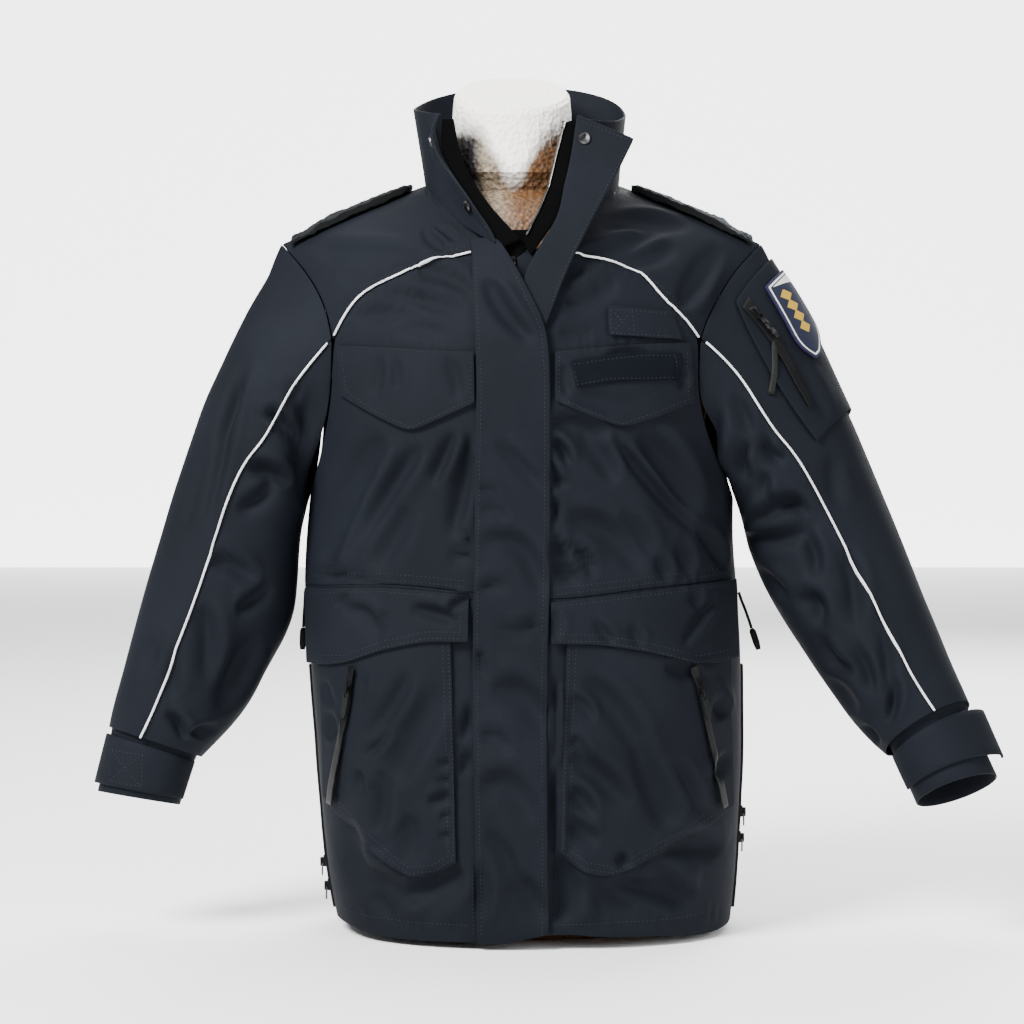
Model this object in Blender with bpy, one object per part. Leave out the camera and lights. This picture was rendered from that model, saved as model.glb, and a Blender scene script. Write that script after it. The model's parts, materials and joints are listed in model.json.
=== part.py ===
"""Uniform anorak with an open stand collar, worn by a limbless foam dress form.

Tables and sizes are in millimetres and degrees; MM turns them into Blender's metres.
The front faces -Y, +X is the wearer's left, and the form stands on z = 0.
A place on the front or back is given as it is seen from the front: by its x and z.
"""

import bmesh
import bpy
import numpy as np
from mathutils import Matrix

MM = 0.001
CLOTH = 1.8  # wall of one layer of lined shell cloth
DOUBLE_CLOTH = 2.4  # a flap or strap, turned over itself
SEAM_GAP = 0.4
ARMHOLE_GAP = 1.0
LAY_GAP = 0.4  # between a panel and what lies on it
SQUARENESS = 2.3  # exponent of the body's rounded-square sections

# Level sections of the body: height, centre, half the width, and the reach of front and back.
BODY = {
    "z": (0, 30, 76, 126, 186, 246, 300, 340, 390, 427, 500, 560, 610, 650, 690, 730, 790),
    "centre": (12, 11.5, 9, 8.5, 7, 4.5, 1.5, -1, -3, -0.5, 0, 0, 0, 0, 0, 0, 0),
    "half": (196, 201, 206, 209.5, 213, 214.5, 215.5, 216, 213, 211.5, 212, 213, 217, 226, 247, 256, 260),
    "front": (147, 149, 150, 150, 150, 150, 150, 149, 150, 151, 152, 150, 146, 140, 132, 122, 112),
    "back": (144, 146, 148, 150, 151, 150, 147, 144, 143, 146, 150, 151, 149, 146, 142, 138, 134),
}
SHOULDER = {"neck_x": 96, "neck_z": 739, "slope": 0.445, "soft": 70, "dome": 230}
HEM = {"x": (-200, -177, -154, -108, -45, -31, 26, 74, 132, 188, 212),
       "z": (13, 13, 8, 6, 7, 6, 17, 12, 10, 6, 8)}
WAIST = {"x": (-222, -127, -45, 24, 112, 216), "z": (343, 350, 343, 336, 345, 352)}
YOKE_SEAM = {
    "right": {"x": (-190, -182, -174, -161, -141, -121, -97, -78, -45, -10),
              "z": (570, 587, 603, 622, 636, 645, 656, 660, 668, 670)},
    "left": {"x": (-10, 48, 66, 97, 117, 134, 151, 162, 170, 176),
             "z": (669, 666, 666, 658, 645, 625, 609, 597, 585, 575)},
}
ARMHOLE = {
    "right_front": {"z": (427, 445, 470, 500, 534, 570, 600, 630, 655, 681),
                    "x": (212, 206, 198, 190, 185, 183, 187, 198, 215, 239)},
    "left_front": {"z": (427, 445, 470, 500, 534, 570, 600, 630, 655, 681),
                   "x": (212, 203, 189, 176, 169, 169, 177, 193, 211, 237)},
    "back": {"z": (427, 445, 480, 520, 560, 600, 640, 681),
             "x": (212, 208, 203, 201, 203, 208, 217, 238)},
}
ARMPIT_Z = 427
SHOULDER_TIP_Z = 681
YOKE_END_Z = 585
# Heights of the points that body panels and sleeves share round the armhole.
ARMHOLE_ROWS = (427, 440, 464, 502, 542, 585, 604, 624, 643, 660, 673, 681)
ZIP_CENTRE_X = -10
ZIP_HALF = 4

# Half of the neckline, from the centre front over the shoulder to the centre back.
NECKLINE = {"x": (14, 30, 47, 70, 88, 96, 90, 64, 32, 0),
            "z": (671, 679, 689, 709, 729, 738.6, 741, 744, 745, 745)}

# Sleeve rings, from armhole to cuff: outer and inner edge as seen from the front, then depth.
# share is how much of the armhole's own curve is left in a ring.
SLEEVE = {
    "right": {
        "outer_x": (239, 252, 270, 290, 305, 318, 338, 357, 374, 390, 400, 406, 410),
        "outer_z": (681, 653, 626, 586, 554, 526, 466, 406, 346, 286, 246, 222, 203),
        "inner_x": (212, 214.5, 216.5, 218.5, 220, 221, 222.5, 224, 236, 254, 270, 292, 316),
        "inner_z": (427, 416, 406, 396, 383, 370, 341, 313, 282, 257, 222, 196, 172),
        "centre_y": (0, 0, -1, -2, -3, -4, -8, -13, -19, -26, -31, -34, -36),
        "half_depth": (83, 84, 85, 85, 84, 82, 78, 74, 71, 68, 65, 60, 52),
        "tilt": (0, 0, 0, 1, 2, 3, 4, 5, 6, 7, 8, 8, 8),
        "share": (1, 0.82, 0.6, 0.4, 0.24, 0.12, 0.03, 0, 0, 0, 0, 0, 0),
    },
    "left": {
        "outer_x": (237, 251, 267, 286, 302, 318, 342, 364, 385, 405, 420, 430, 437),
        "outer_z": (681, 656, 633, 600, 566, 531, 475, 421, 366, 311, 271, 248, 231),
        "inner_x": (212, 215, 217.5, 220, 222, 225, 236, 254, 276, 300, 323, 338, 352),
        "inner_z": (427, 417, 408, 397, 385, 372, 343, 310, 277, 240, 209, 193, 181),
        "centre_y": (0, 0, -1, -3, -6, -9, -17, -28, -42, -58, -71, -79, -85),
        "half_depth": (86, 86, 86, 86, 85, 83, 79, 75, 71, 67, 63, 60, 55),
        "tilt": (0, 0, 1, 2, 5, 8, 13, 17, 20, 21, 22, 22, 22),
        "share": (1, 0.82, 0.6, 0.4, 0.24, 0.12, 0.03, 0, 0, 0, 0, 0, 0),
    },
}
# The seams that part the upper from the under sleeve: armhole heights where they start,
# and the front one's drift, ring by ring, in degrees.
SLEEVE_SEAM = {"front_z": 585, "back_z": 585, "drift": (0, 0, 3, 8, 8, 3, 0, 0, 0, 0, 0, 1, 1)}

# Cuff tubes under the sleeve ends.
CUFF = {
    "right": {
        "outer_x": (402, 408, 414, 420), "outer_z": (214, 190, 165, 140),
        "inner_x": (320, 326, 332, 338), "inner_z": (184, 165, 146, 126),
        "centre_y": (-35, -38, -41, -44), "half_depth": (44, 44, 44, 43), "tilt": (8, 8, 8, 8),
    },
    "left": {
        "outer_x": (428, 438, 449, 460), "outer_z": (240, 214, 188, 162),
        "inner_x": (358, 365, 373, 381), "inner_z": (193, 174, 155, 136),
        "centre_y": (-82, -90, -98, -107), "half_depth": (46, 46, 45, 44), "tilt": (22, 22, 22, 22),
    },
}
CUFF_COLUMNS = 24
CUFF_FLARE = {"right": 2.8, "left": 2.1}  # how far its upper end opens, to meet the sleeve
# Straps round the cuffs: first and last place on the tube (0 to 1) and degrees from the outer edge.
CUFF_STRAP = {
    "right": {"start": 0.26, "end": 0.9, "from": -30, "to": 165, "lift": 1.3, "flare": 4},
    "left": {"start": 0.25, "end": 0.8, "from": -16, "to": 170, "lift": 1.3, "flare": 13},
}

# Large soft folds: both ends as seen from the front, half the width, and the depth (a ridge is below 0).
FRONT_FOLDS = {
    "x1": (205, 190, 196, 175, 120, -196, -60, -175, 112, 50, 168, -120, -62),
    "z1": (462, 430, 395, 500, 706, 430, 62, 716, 690, 58, 84, 60, 300),
    "x2": (60, 40, 70, 110, 205, -90, -70, -70, 214, 44, 176, -140, -40),
    "z2": (392, 470, 366, 455, 694, 372, 10, 700, 664, 6, 14, 10, 120),
    "width": (17, 20, 14, 16, 13, 18, 16, 14, 15, 15, 16, 15, 14),
    "depth": (6, -5, 4, 4, 4, 4, 4, 4, 5, 5, 4, 4, 3),
}
BACK_FOLDS = {
    "x1": (-190, 185, -120, 130, -60, 70, 0),
    "z1": (500, 520, 690, 700, 300, 280, 420),
    "x2": (-70, 60, 30, -40, -80, 60, 20),
    "z2": (400, 430, 650, 610, 20, 20, 330),
    "width": (20, 18, 16, 18, 22, 20, 24),
    "depth": (6, 6, 4, 4, 5, 6, 5),
}
SLEEVE_FOLDS = {
    "x1": (-226, -232, -240, -236, -300, -285, 226, 240, 246, 262, 330, 312),
    "z1": (352, 402, 452, 320, 300, 250, 366, 420, 470, 330, 290, 240),
    "x2": (-320, -300, -292, -300, -372, -380, 318, 322, 318, 350, 402, 400),
    "z2": (420, 470, 530, 360, 330, 268, 430, 470, 520, 380, 300, 262),
    "width": (17, 16, 18, 15, 14, 13, 16, 18, 18, 15, 14, 13),
    "depth": (7, 5, 5, 5, 4, 5, 7, 6, 5, 6, 4, 5),
}

# Collar stations between its two front edges, from the wearer's right round the back.
# foot is a place on the neckline: 0 is the centre back, 1 a side; the right is below 0.
COLLAR = {
    "foot": (-1.75, -1.4, -1.12, -0.86, -0.6, -0.3, 0, 0.3, 0.6, 0.86, 1.12, 1.4, 1.75),
    "rim_x": (-92, -102, -108, -107, -92, -52, 0, 52, 92, 104, 101, 92, 76),
    "rim_y": (-50, -32, -8, 20, 52, 79, 88, 79, 52, 20, -10, -34, -54),
    "rim_z": (807, 810, 813, 818, 829, 841, 845, 841, 828, 812, 805, 800, 799),
}
# The collar's two front edges in the open neck, from the rim down.
COLLAR_EDGE = {
    "right": {"x": (-80, -90, -83, -59, -45, -26), "y": (-62, -70, -86, -106, -118, -127),
              "z": (805, 783, 758, 729, 706, 682)},
    "left": {"x": (56.2, 49.2, 43, 39.5, 33, 25), "y": (-69.5, -84.5, -95.5, -105.5, -112.5, -116.5),
             "z": (800, 758, 730, 706, 691, 683)},
}
# Facings: the edge beside the zip, and the edge where they meet collar or neck flap.
FACING = {
    "right": {"zip_x": (-67, -61, -49, -30, -14, -2), "zip_y": (-63, -76, -86, -101, -112, -119),
              "zip_z": (800, 766, 740, 712, 694, 680),
              "fold_x": (-78, -79.4, -68.2, -51.5, -34, -21.3), "fold_y": (-59.5, -66.6, -80, -100, -114.4, -125.6),
              "fold_z": (800, 770, 747, 716, 692, 671)},
    "left": {"zip_x": (40, 31, 24, 15, 7, 1), "zip_y": (-71, -84, -94, -104, -112, -119),
             "zip_z": (795, 760, 730, 708, 692, 680),
             "fold_x": (54, 47, 40, 35, 20, 8), "fold_y": (-71, -86, -97, -107, -117, -123),
             "fold_z": (800, 758, 730, 704, 682, 664)},
}
# The flap turned out beside the zip at the wearer's left of the neck, top to foot.
NECK_FLAP = {
    "fold_x": (53, 46, 39, 35, 19, 4, -1, -6), "fold_z": (803, 756, 730, 705, 678, 652, 629, 606),
    "fold_y": (-75, -90, -101, -111, -122, -132, -140.5, -145.3),
    "free_x": (108, 90, 76, 63, 49, 38, 30, 22), "free_z": (779, 743, 717, 692, 664, 639, 618, 598),
    "free_y": (-84, -99, -109, -119, -129, -138, -143.5, -147),
}

# The storm flap over the front zip: its sewn edge, its free edge, and how far that edge stands off.
STORM_FLAP = {
    "z": (8, 60, 120, 180, 240, 300, 350, 400, 450, 500, 545, 593, 618, 643, 666, 680),
    "sewn_x": (-43, -44, -45, -46, -47, -47, -46, -45, -45, -44, -43, -45, -46, -47, -48, -50),
    "free_x": (25, 24, 24, 23, 23, 24, 26, 26, 26, 26, 26, 24, 11.5, -1, -14, -24),
    "free_off": (0, 0, 0, 0, 0, 0, 0, 0, 0, 0, 0.6, 6, 6.5, 9, 12.5, 15.5),
}

# Flaps and patches on the front: upper and lower edge, column by column.
CHEST_FLAP = {
    "right": {"top_x": (-179, -143, -107, -76, -46), "top_z": (579, 577, 575, 573, 572),
              "low_x": (-174, -141, -107, -75, -45), "low_z": (531, 512, 496, 510, 524)},
    "left": {"top_x": (31, 63, 95, 128, 161), "top_z": (572, 575, 578, 580, 581),
             "low_x": (31, 62, 95, 130, 164), "low_z": (526, 512, 500, 511, 524)},
}
NAME_STRIP = {"top_x": (45, 80, 115, 150), "top_z": (563, 568, 571, 571),
              "low_x": (50, 84, 117, 151), "low_z": (538, 544, 546, 545)}
NAME_LOOP = {"top_x": (81, 104, 125, 143), "top_z": (616, 614, 612, 611),
             "low_x": (82, 106, 131, 153), "low_z": (588, 587, 585, 584)}
POCKET_FLAP = {
    "right": {"top_x": (-51, -92, -135, -175, -212), "top_z": (341, 345, 347, 345, 341),
              "low_x": (-51, -91, -133, -172, -206), "low_z": (297, 297, 287, 271, 268)},
    "left": {"top_x": (27, 75, 122, 168, 209), "top_z": (334, 339, 344, 348, 350),
             "low_x": (27, 75, 122, 169, 206), "low_z": (295, 294, 285, 271, 274)},
}
PATCH_POCKET = {
    "right": {"top_x": (-68, -100, -132, -166, -197), "top_z": (300, 300, 292, 282, 274),
              "low_x": (-63, -82, -110, -152, -193), "low_z": (84, 72, 68, 99, 136)},
    "left": {"top_x": (42, 82, 122, 166, 202), "top_z": (296, 296, 290, 280, 275),
             "low_x": (35, 58, 86, 148, 205), "low_z": (92, 76, 71, 99, 128)},
}
POCKET_BULGE = 4.0
POCKET_ZIP = {"right": {"x": (-160, -164, -172, -179, -182), "z": (270, 232, 194, 158, 132)},
              "left": {"x": (161, 171, 180, 187, 192), "z": (270, 228, 188, 154, 130)}}
ZIP_TAPE_WIDTH = 9
ZIP_TAPE = 1.4
SIDE_ZIP = {"low_z": 18, "high_z": 262, "width": 12, "pull_z": {"right": (64, 40), "left": (114, 88)}}

# Pocket, zip and badge on the wearer's left upper arm: ring place and degrees from the outer edge.
SLEEVE_POCKET = {"ring": (0.6, 1.7, 2.9, 4.1, 5.3), "low": (-38, -38, -38, -38, -38),
                 "high": (51, 59, 66, 66, 60)}
SLEEVE_ZIP = {"ring": (0.9, 1.7, 2.6, 3.5, 4.5), "angle": (48.5, 49.5, 52, 54, 53)}
ARM_PATCH = {"ring": (1.15, 1.8, 2.5, 3.1, 3.7), "low": (-8, -8, -6, 2, 24), "high": (33, 36, 39, 41, 32)}

# Epaulettes along the shoulder ridge: place out from the neck, half the width, and thickness.
EPAULETTE = {"x": (109, 113, 118, 150, 170, 205, 209, 220, 229), "half": (14, 22, 25, 26, 26, 26, 24, 21, 19),
             "lift": (2, 1.8, 1.6, 1.5, 1.5, 1.7, 1.6, 1.4, 1.4), "thick": (3, 5, 6.5, 7.5, 6.5, 7, 3, 3, 3)}

# Foam form: height, sideways centre, half width, reach of front and back,
# rise towards the back per mm, and squareness.
# A half width of 0 is worked out, so that the anorak's shoulders rest there.
FORM = {
    "z": (0, 12, 120, 240, 340, 430, 500, 560, 610, 650, 680, 700, 712, 724, 731, 742, 752, 764, 786, 816, 826, 830),
    "centre": (*[0] * 15, -3, -7, -9, -10, -10, -10, -10),
    "half": (140, 148, 166, 164, 158, 168, 182, 192, 197, 197, 192, 181, 0, 0, 0, 75, 71, 66, 60.5, 58.5, 57.5, 54.5),
    "front": (92, 99, 114, 112, 108, 114, 122, 122, 114, 104, 95, 86, 76, 63, 52, 57, 62, 61, 57, 53, 52, 49),
    "back": (92, 99, 114, 110, 106, 114, 122, 124, 118, 104, 88, 75, 63, 52, 45, 45, 49, 53, 56, 57, 56, 53),
    "tilt": (0, 0, 0, 0, 0, 0, 0, 0, 0, 0, 0, 0, 0, 0, 0, 0.02, 0.06, 0.12, 0.26, 0.4, 0.4, 0.4),
    "square": (2.2, 2.2, 2.2, 2.2, 2.2, 2.2, 2.2, 2.1, 2, 1.9, 1.8, 1.7, 1.6, 1.6, 1.6, 1.8, 2, 2.1, 2.1, 2.1, 2.1, 2.1),
}
FORM_COLUMNS = 28
SHOULDER_SEAT = 0.5  # between the foam and the cloth that rests on it

PIPING_RADIUS = 1.2
CORD_RADIUS = 1.5
CORD_END = {"radius": 3.5, "foot_radius": 2.6, "length": 22}
DRAWCORD = {
    "right": {"x": (-217.4, -217.8, -218.4, -219, -219.4), "y": 8, "z": (334, 325, 316, 307, 298)},
    "left": {"x": (216.6, 219.2, 223, 226.5, 229.5), "y": -4, "z": (334, 326, 317, 307, 298)},
}
SNAP = {"radius": 6.2, "height": 2.2}

# A zip slider and the tab that swings on the bar under its bridge.
SLIDER = {"width": 7, "length": 11, "height": 1.8, "bridge_width": 2.2, "bridge_from": -3.6,
          "bridge_to": 5.4, "foot": 1.2, "tunnel": 2.2, "bar_at": 2.8}
TAB = {"thick": 1.4, "eye_half": 1.8, "eye_length": 5, "half": 3.1}

MATERIALS = {
    "shell": ((0.016, 0.022, 0.036), 0.72, 0.0),
    "facing": ((0.006, 0.006, 0.008), 0.85, 0.0),
    "foam": ((0.86, 0.83, 0.76), 0.8, 0.0),
    "tape": ((0.012, 0.013, 0.015), 0.3, 0.0),
    "metal": ((0.1, 0.1, 0.11), 0.35, 1.0),
    "reflective": ((0.62, 0.64, 0.66), 0.4, 0.0),
    "badge": ((0.03, 0.045, 0.12), 0.7, 0.0),
    "rubber": ((0.015, 0.015, 0.017), 0.5, 0.0),
}


def clear_scene():
    for item in list(bpy.data.objects):
        bpy.data.objects.remove(item)
    parts = bpy.data.collections.new("anorak_on_form")
    tools = bpy.data.collections.new("cutters")
    tools.hide_render = True
    for group in (parts, tools):
        bpy.context.scene.collection.children.link(group)
    return parts, tools


PARTS, CUTTERS = clear_scene()


def material(kind):
    """The material of this kind, made once."""
    found = bpy.data.materials.get(kind)
    if found:
        return found
    colour, roughness, metallic = MATERIALS[kind]
    made = bpy.data.materials.new(kind)
    made.use_nodes = True
    shader = made.node_tree.nodes["Principled BSDF"]
    shader.inputs["Base Color"].default_value = (*colour, 1)
    shader.inputs["Roughness"].default_value = roughness
    shader.inputs["Metallic"].default_value = metallic
    made.diffuse_color = (*colour, 1)
    return made


def smooth(stations, values, at):
    """Values of a table column between its stations, on one smooth curve."""
    stations, values = np.asarray(stations, float), np.asarray(values, float)
    at = np.clip(np.asarray(at, float), stations[0], stations[-1])
    slope = np.gradient(values, stations)
    i = np.clip(np.searchsorted(stations, at, side="right") - 1, 0, len(stations) - 2)
    step = stations[i + 1] - stations[i]
    t = (at - stations[i]) / step
    from_start = (1 + 2 * t) * (1 - t) ** 2 * values[i] + t * (1 - t) ** 2 * step * slope[i]
    from_end = t * t * (3 - 2 * t) * values[i + 1] + t * t * (t - 1) * step * slope[i + 1]
    return from_start + from_end


def table_at(table, name, place):
    """A column of a table whose rows are evenly numbered from 0."""
    column = table[name]
    return smooth(range(len(column)), column, place)


def folds_at(folds, x, z):
    """How deep the folds sink the cloth at a place seen from the front."""
    depth = np.zeros(np.broadcast(x, z).shape)
    for x1, z1, x2, z2, width, deep in zip(*folds.values()):
        run_x, run_z = x2 - x1, z2 - z1
        along = ((x - x1) * run_x + (z - z1) * run_z) / (run_x**2 + run_z**2)
        near = np.clip(along, 0, 1)
        off = np.hypot(x - x1 - near * run_x, z - z1 - near * run_z)
        taper = 1 - np.abs(2 * near - 1) ** 2.5
        depth += deep * taper * np.exp(-((off / width) ** 2))
    return depth


def shoulder_height(x):
    spread = np.hypot(x, SHOULDER["soft"])
    at_neck = np.hypot(SHOULDER["neck_x"], SHOULDER["soft"])
    return SHOULDER["neck_z"] - SHOULDER["slope"] * (spread - at_neck)


def roundness(x, z):
    """The two factors that round the body off at its sides and under its shoulders."""
    across = np.abs((x - smooth(BODY["z"], BODY["centre"], z)) / smooth(BODY["z"], BODY["half"], z))
    up = np.clip(1 - (shoulder_height(x) - z) / SHOULDER["dome"], 0, 1)
    return np.clip(1 - across**SQUARENESS, 0, 1), np.clip(1 - up**SQUARENESS, 0, 1)


def reach(x, z, side):
    """How far the plain body stands out at a place: side is -1 for the front and 1 for the back."""
    deep = smooth(BODY["z"], BODY["front" if side < 0 else "back"], z)
    sideways, upward = roundness(x, z)
    return deep * (sideways * upward) ** (1 / SQUARENESS)


def fold_depth(x, z, side):
    facing = np.clip(reach(x, z, side) / 70, 0, 1)
    return folds_at(FRONT_FOLDS if side < 0 else BACK_FOLDS, x, z) * facing**2 * (3 - 2 * facing)


def body_form(x, y, z, side):
    """A field that is 0 on the folded body surface and grows outward."""
    deep = smooth(BODY["z"], BODY["front" if side < 0 else "back"], z)
    sideways, upward = roundness(x, z)
    out = np.abs(side * y + fold_depth(x, z, side)) / deep
    return out**SQUARENESS - sideways * upward


def body(x, z, side, lift=0.0):
    """Points on the body surface, moved out by lift."""
    x, z = np.broadcast_arrays(np.asarray(x, float), np.asarray(z, float))
    out = np.maximum(reach(x, z, side) - fold_depth(x, z, side), SEAM_GAP / 2)
    point = np.stack([x, side * out, z], -1)
    e = 0.5
    slope = [body_form(x + e, side * out, z, side) - body_form(x - e, side * out, z, side),
             body_form(x, side * (out + e), z, side) - body_form(x, side * (out - e), z, side),
             body_form(x, side * out, z + e, side) - body_form(x, side * out, z - e, side)]
    slope[1] = slope[1] * side
    normal = np.stack(slope, -1)
    normal /= np.linalg.norm(normal, axis=-1, keepdims=True)
    return point + normal * np.asarray(lift)[..., None]


def armhole_x(z, side, wearer):
    curve = ARMHOLE["back" if side > 0 else wearer + "_front"]
    return smooth(curve["z"], curve["x"], z)


def sign_of(wearer):
    return -1 if wearer == "right" else 1


def sleeve_frame(table, ring):
    """Centre, outward half axis, depth axis and long axis of a ring, for a sleeve on +X."""
    edge = {name: table_at(table, name, ring) for name in ("outer_x", "outer_z", "inner_x", "inner_z")}
    centre_y = table_at(table, "centre_y", ring)
    tilt = np.radians(table_at(table, "tilt", ring))
    zero = np.zeros_like(centre_y)
    outer = np.stack([edge["outer_x"], zero, edge["outer_z"]], -1)
    inner = np.stack([edge["inner_x"], zero, edge["inner_z"]], -1)
    centre = (outer + inner) / 2 + np.stack([zero, centre_y, zero], -1)
    half = (outer - inner) / 2
    away = half / np.linalg.norm(half, axis=-1, keepdims=True)
    long_axis = np.stack([-away[..., 2], zero, away[..., 0]], -1)
    toward = np.stack([zero, -np.cos(tilt), zero], -1) + long_axis * np.sin(tilt)[..., None]
    return centre, half, toward, long_axis


def tube_point(table, ring, turn):
    """Points on a plain tube of rings; turn is in radians from the outer edge towards the front."""
    ring, turn = np.broadcast_arrays(np.asarray(ring, float), np.asarray(turn, float))
    centre, half, toward, _ = sleeve_frame(table, ring)
    depth = table_at(table, "half_depth", ring)
    return centre + half * np.cos(turn)[..., None] + toward * (depth * np.sin(turn))[..., None]


def armhole_offset(wearer, ring, turn):
    """What the armhole's own curve adds to a ring's plain ellipse, in that ring's axes."""
    table = SLEEVE[wearer]
    sign = sign_of(wearer)
    front = np.sin(turn) >= 0
    middle = (SHOULDER_TIP_Z + ARMPIT_Z) / 2
    z = middle + (SHOULDER_TIP_Z - ARMPIT_Z) / 2 * np.cos(turn)
    fore = body(sign * armhole_x(z, -1, wearer), z, -1)
    rear = body(sign * armhole_x(z, 1, wearer), z, 1)
    edge = np.where(front[..., None], fore, rear)
    edge = edge * np.array([sign, 1, 1]) + np.array([ARMHOLE_GAP, 0, 0])
    first = np.zeros_like(ring)
    centre, half, toward, long_axis = sleeve_frame(table, first)
    gap = edge - tube_point(table, first, turn)
    away = half / np.linalg.norm(half, axis=-1, keepdims=True)
    parts = [np.sum(gap * axis, -1) for axis in (away, toward, long_axis)]
    _, half, toward, long_axis = sleeve_frame(table, ring)
    away = half / np.linalg.norm(half, axis=-1, keepdims=True)
    share = table_at(table, "share", ring)
    return sum((part * share)[..., None] * axis for part, axis in zip(parts, (away, toward, long_axis)))


def plain_sleeve(wearer, ring, turn):
    ring, turn = np.broadcast_arrays(np.asarray(ring, float), np.asarray(turn, float))
    point = tube_point(SLEEVE[wearer], ring, turn) + armhole_offset(wearer, ring, turn)
    return point * np.array([sign_of(wearer), 1, 1])


def normals(surface, ring, turn, last):
    """Outward unit normals of a surface of rings and turns."""
    step = 0.02
    low, high = np.clip(ring - step, 0, last), np.clip(ring + step, 0, last)
    along = surface(high, turn) - surface(low, turn)
    around = surface(ring, turn + step) - surface(ring, turn - step)
    normal = np.cross(around, along)
    normal /= np.linalg.norm(normal, axis=-1, keepdims=True)
    middle = sum(surface(ring, turn + quarter * np.pi / 2) for quarter in range(4)) / 4
    outward = np.sign(np.sum(normal * (surface(ring, turn) - middle), -1, keepdims=True))
    return normal * outward


def folded_sleeve(wearer, ring, turn):
    """The sleeve surface with its large folds; the armhole ring keeps the body's own shape."""
    ring, turn = np.broadcast_arrays(np.asarray(ring, float), np.asarray(turn, float))
    last = len(SLEEVE[wearer]["tilt"]) - 1
    point = plain_sleeve(wearer, ring, turn)
    normal = normals(lambda r, t: plain_sleeve(wearer, r, t), ring, turn, last)
    facing = np.clip(np.abs(normal[..., 1]), 0, 1)
    clear = np.clip(ring / 2, 0, 1) * np.clip((last - ring) / 1.5, 0, 1)
    deep = folds_at(SLEEVE_FOLDS, point[..., 0], point[..., 2]) * facing * clear
    return point - normal * deep[..., None]


def sleeve(wearer, ring, turn, lift=0.0):
    """Points on the folded sleeve, moved out by lift."""
    ring, turn = np.broadcast_arrays(np.asarray(ring, float), np.asarray(turn, float))
    last = len(SLEEVE[wearer]["tilt"]) - 1
    normal = normals(lambda r, t: folded_sleeve(wearer, r, t), ring, turn, last)
    return folded_sleeve(wearer, ring, turn) + normal * np.asarray(lift)[..., None]


def cuff(wearer, ring, turn, lift=0.0):
    table = CUFF[wearer]
    sign = np.array([sign_of(wearer), 1, 1])

    def plain(r, t):
        r, t = np.broadcast_arrays(np.asarray(r, float), np.asarray(t, float))
        return tube_point(table, r, t) * sign

    ring, turn = np.broadcast_arrays(np.asarray(ring, float), np.asarray(turn, float))
    normal = normals(plain, ring, turn, len(table["tilt"]) - 1)
    return plain(ring, turn) + normal * np.asarray(lift)[..., None]


def add_mesh(name, points, faces, kind):
    """A mesh object of points in millimetres, with its faces turned outward."""
    mesh = bpy.data.meshes.new(name)
    mesh.from_pydata([tuple(p) for p in np.asarray(points) * MM], [], faces)
    shape = bmesh.new()
    shape.from_mesh(mesh)
    bmesh.ops.recalc_face_normals(shape, faces=shape.faces)
    if shape.calc_volume(signed=True) < 0:
        bmesh.ops.reverse_faces(shape, faces=shape.faces)
    shape.to_mesh(mesh)
    shape.free()
    mesh.shade_smooth()
    mesh.set_sharp_from_angle(angle=np.radians(50))
    mesh.materials.append(material(kind))
    item = bpy.data.objects.new(name, mesh)
    PARTS.objects.link(item)
    return item


def add_wall(name, outer, inner, kind, ring_closed=False):
    """A closed wall between two grids of points, rows by columns."""
    rows, columns = outer.shape[:2]
    points = np.concatenate([outer.reshape(-1, 3), inner.reshape(-1, 3)])
    below = rows * columns
    faces = []
    wraps = columns if ring_closed else columns - 1
    for r in range(rows - 1):
        for c in range(wraps):
            n = (c + 1) % columns
            a, b = r * columns + c, r * columns + n
            d, e = (r + 1) * columns + c, (r + 1) * columns + n
            faces += [(a, b, e, d), (below + a, below + d, below + e, below + b)]
    for c in range(wraps):
        n = (c + 1) % columns
        for r in (0, rows - 1):
            faces.append((r * columns + c, below + r * columns + c, below + r * columns + n, r * columns + n))
    if not ring_closed:
        for r in range(rows - 1):
            for c in (0, columns - 1):
                a, d = r * columns + c, (r + 1) * columns + c
                faces.append((a, d, below + d, below + a))
    return add_mesh(name, points, faces, kind)


def add_sheet(name, surface, thickness, kind, ring_closed=False):
    """A wall from surface(lift): its outer face at lift 0 and its inner face below it."""
    return add_wall(name, surface(0.0), surface(-thickness), kind, ring_closed)


def angle_to(x, z):
    """How far round the body's section a place lies, from its side (0) to its middle (90 degrees)."""
    centre = smooth(BODY["z"], BODY["centre"], z)
    share = np.clip(np.abs(x - centre) / smooth(BODY["z"], BODY["half"], z), 0, 1)
    return np.arccos(share ** (SQUARENESS / 2))


def even_columns(x_inner, x_outer, z, count):
    """Places across a row, evenly spaced round the body from its inner to its outer edge."""
    centre = smooth(BODY["z"], BODY["centre"], z)
    half = smooth(BODY["z"], BODY["half"], z)
    side = np.sign(x_outer - centre)
    start = angle_to(x_inner, z)
    start = np.pi - start if (x_inner - centre) * side < 0 else start
    turn = np.linspace(start, angle_to(x_outer, z), count)
    return centre + side * half * np.sign(np.cos(turn)) * np.abs(np.cos(turn)) ** (2 / SQUARENESS)


def edge_x(z, side, wearer):
    """Where a body panel ends: at the side seam, or at the armhole above it."""
    if z > ARMPIT_Z:
        return sign_of(wearer) * (armhole_x(z, side, wearer) - SEAM_GAP / 2)
    return smooth(BODY["z"], BODY["centre"], z) + sign_of(wearer) * smooth(BODY["z"], BODY["half"], z)


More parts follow.
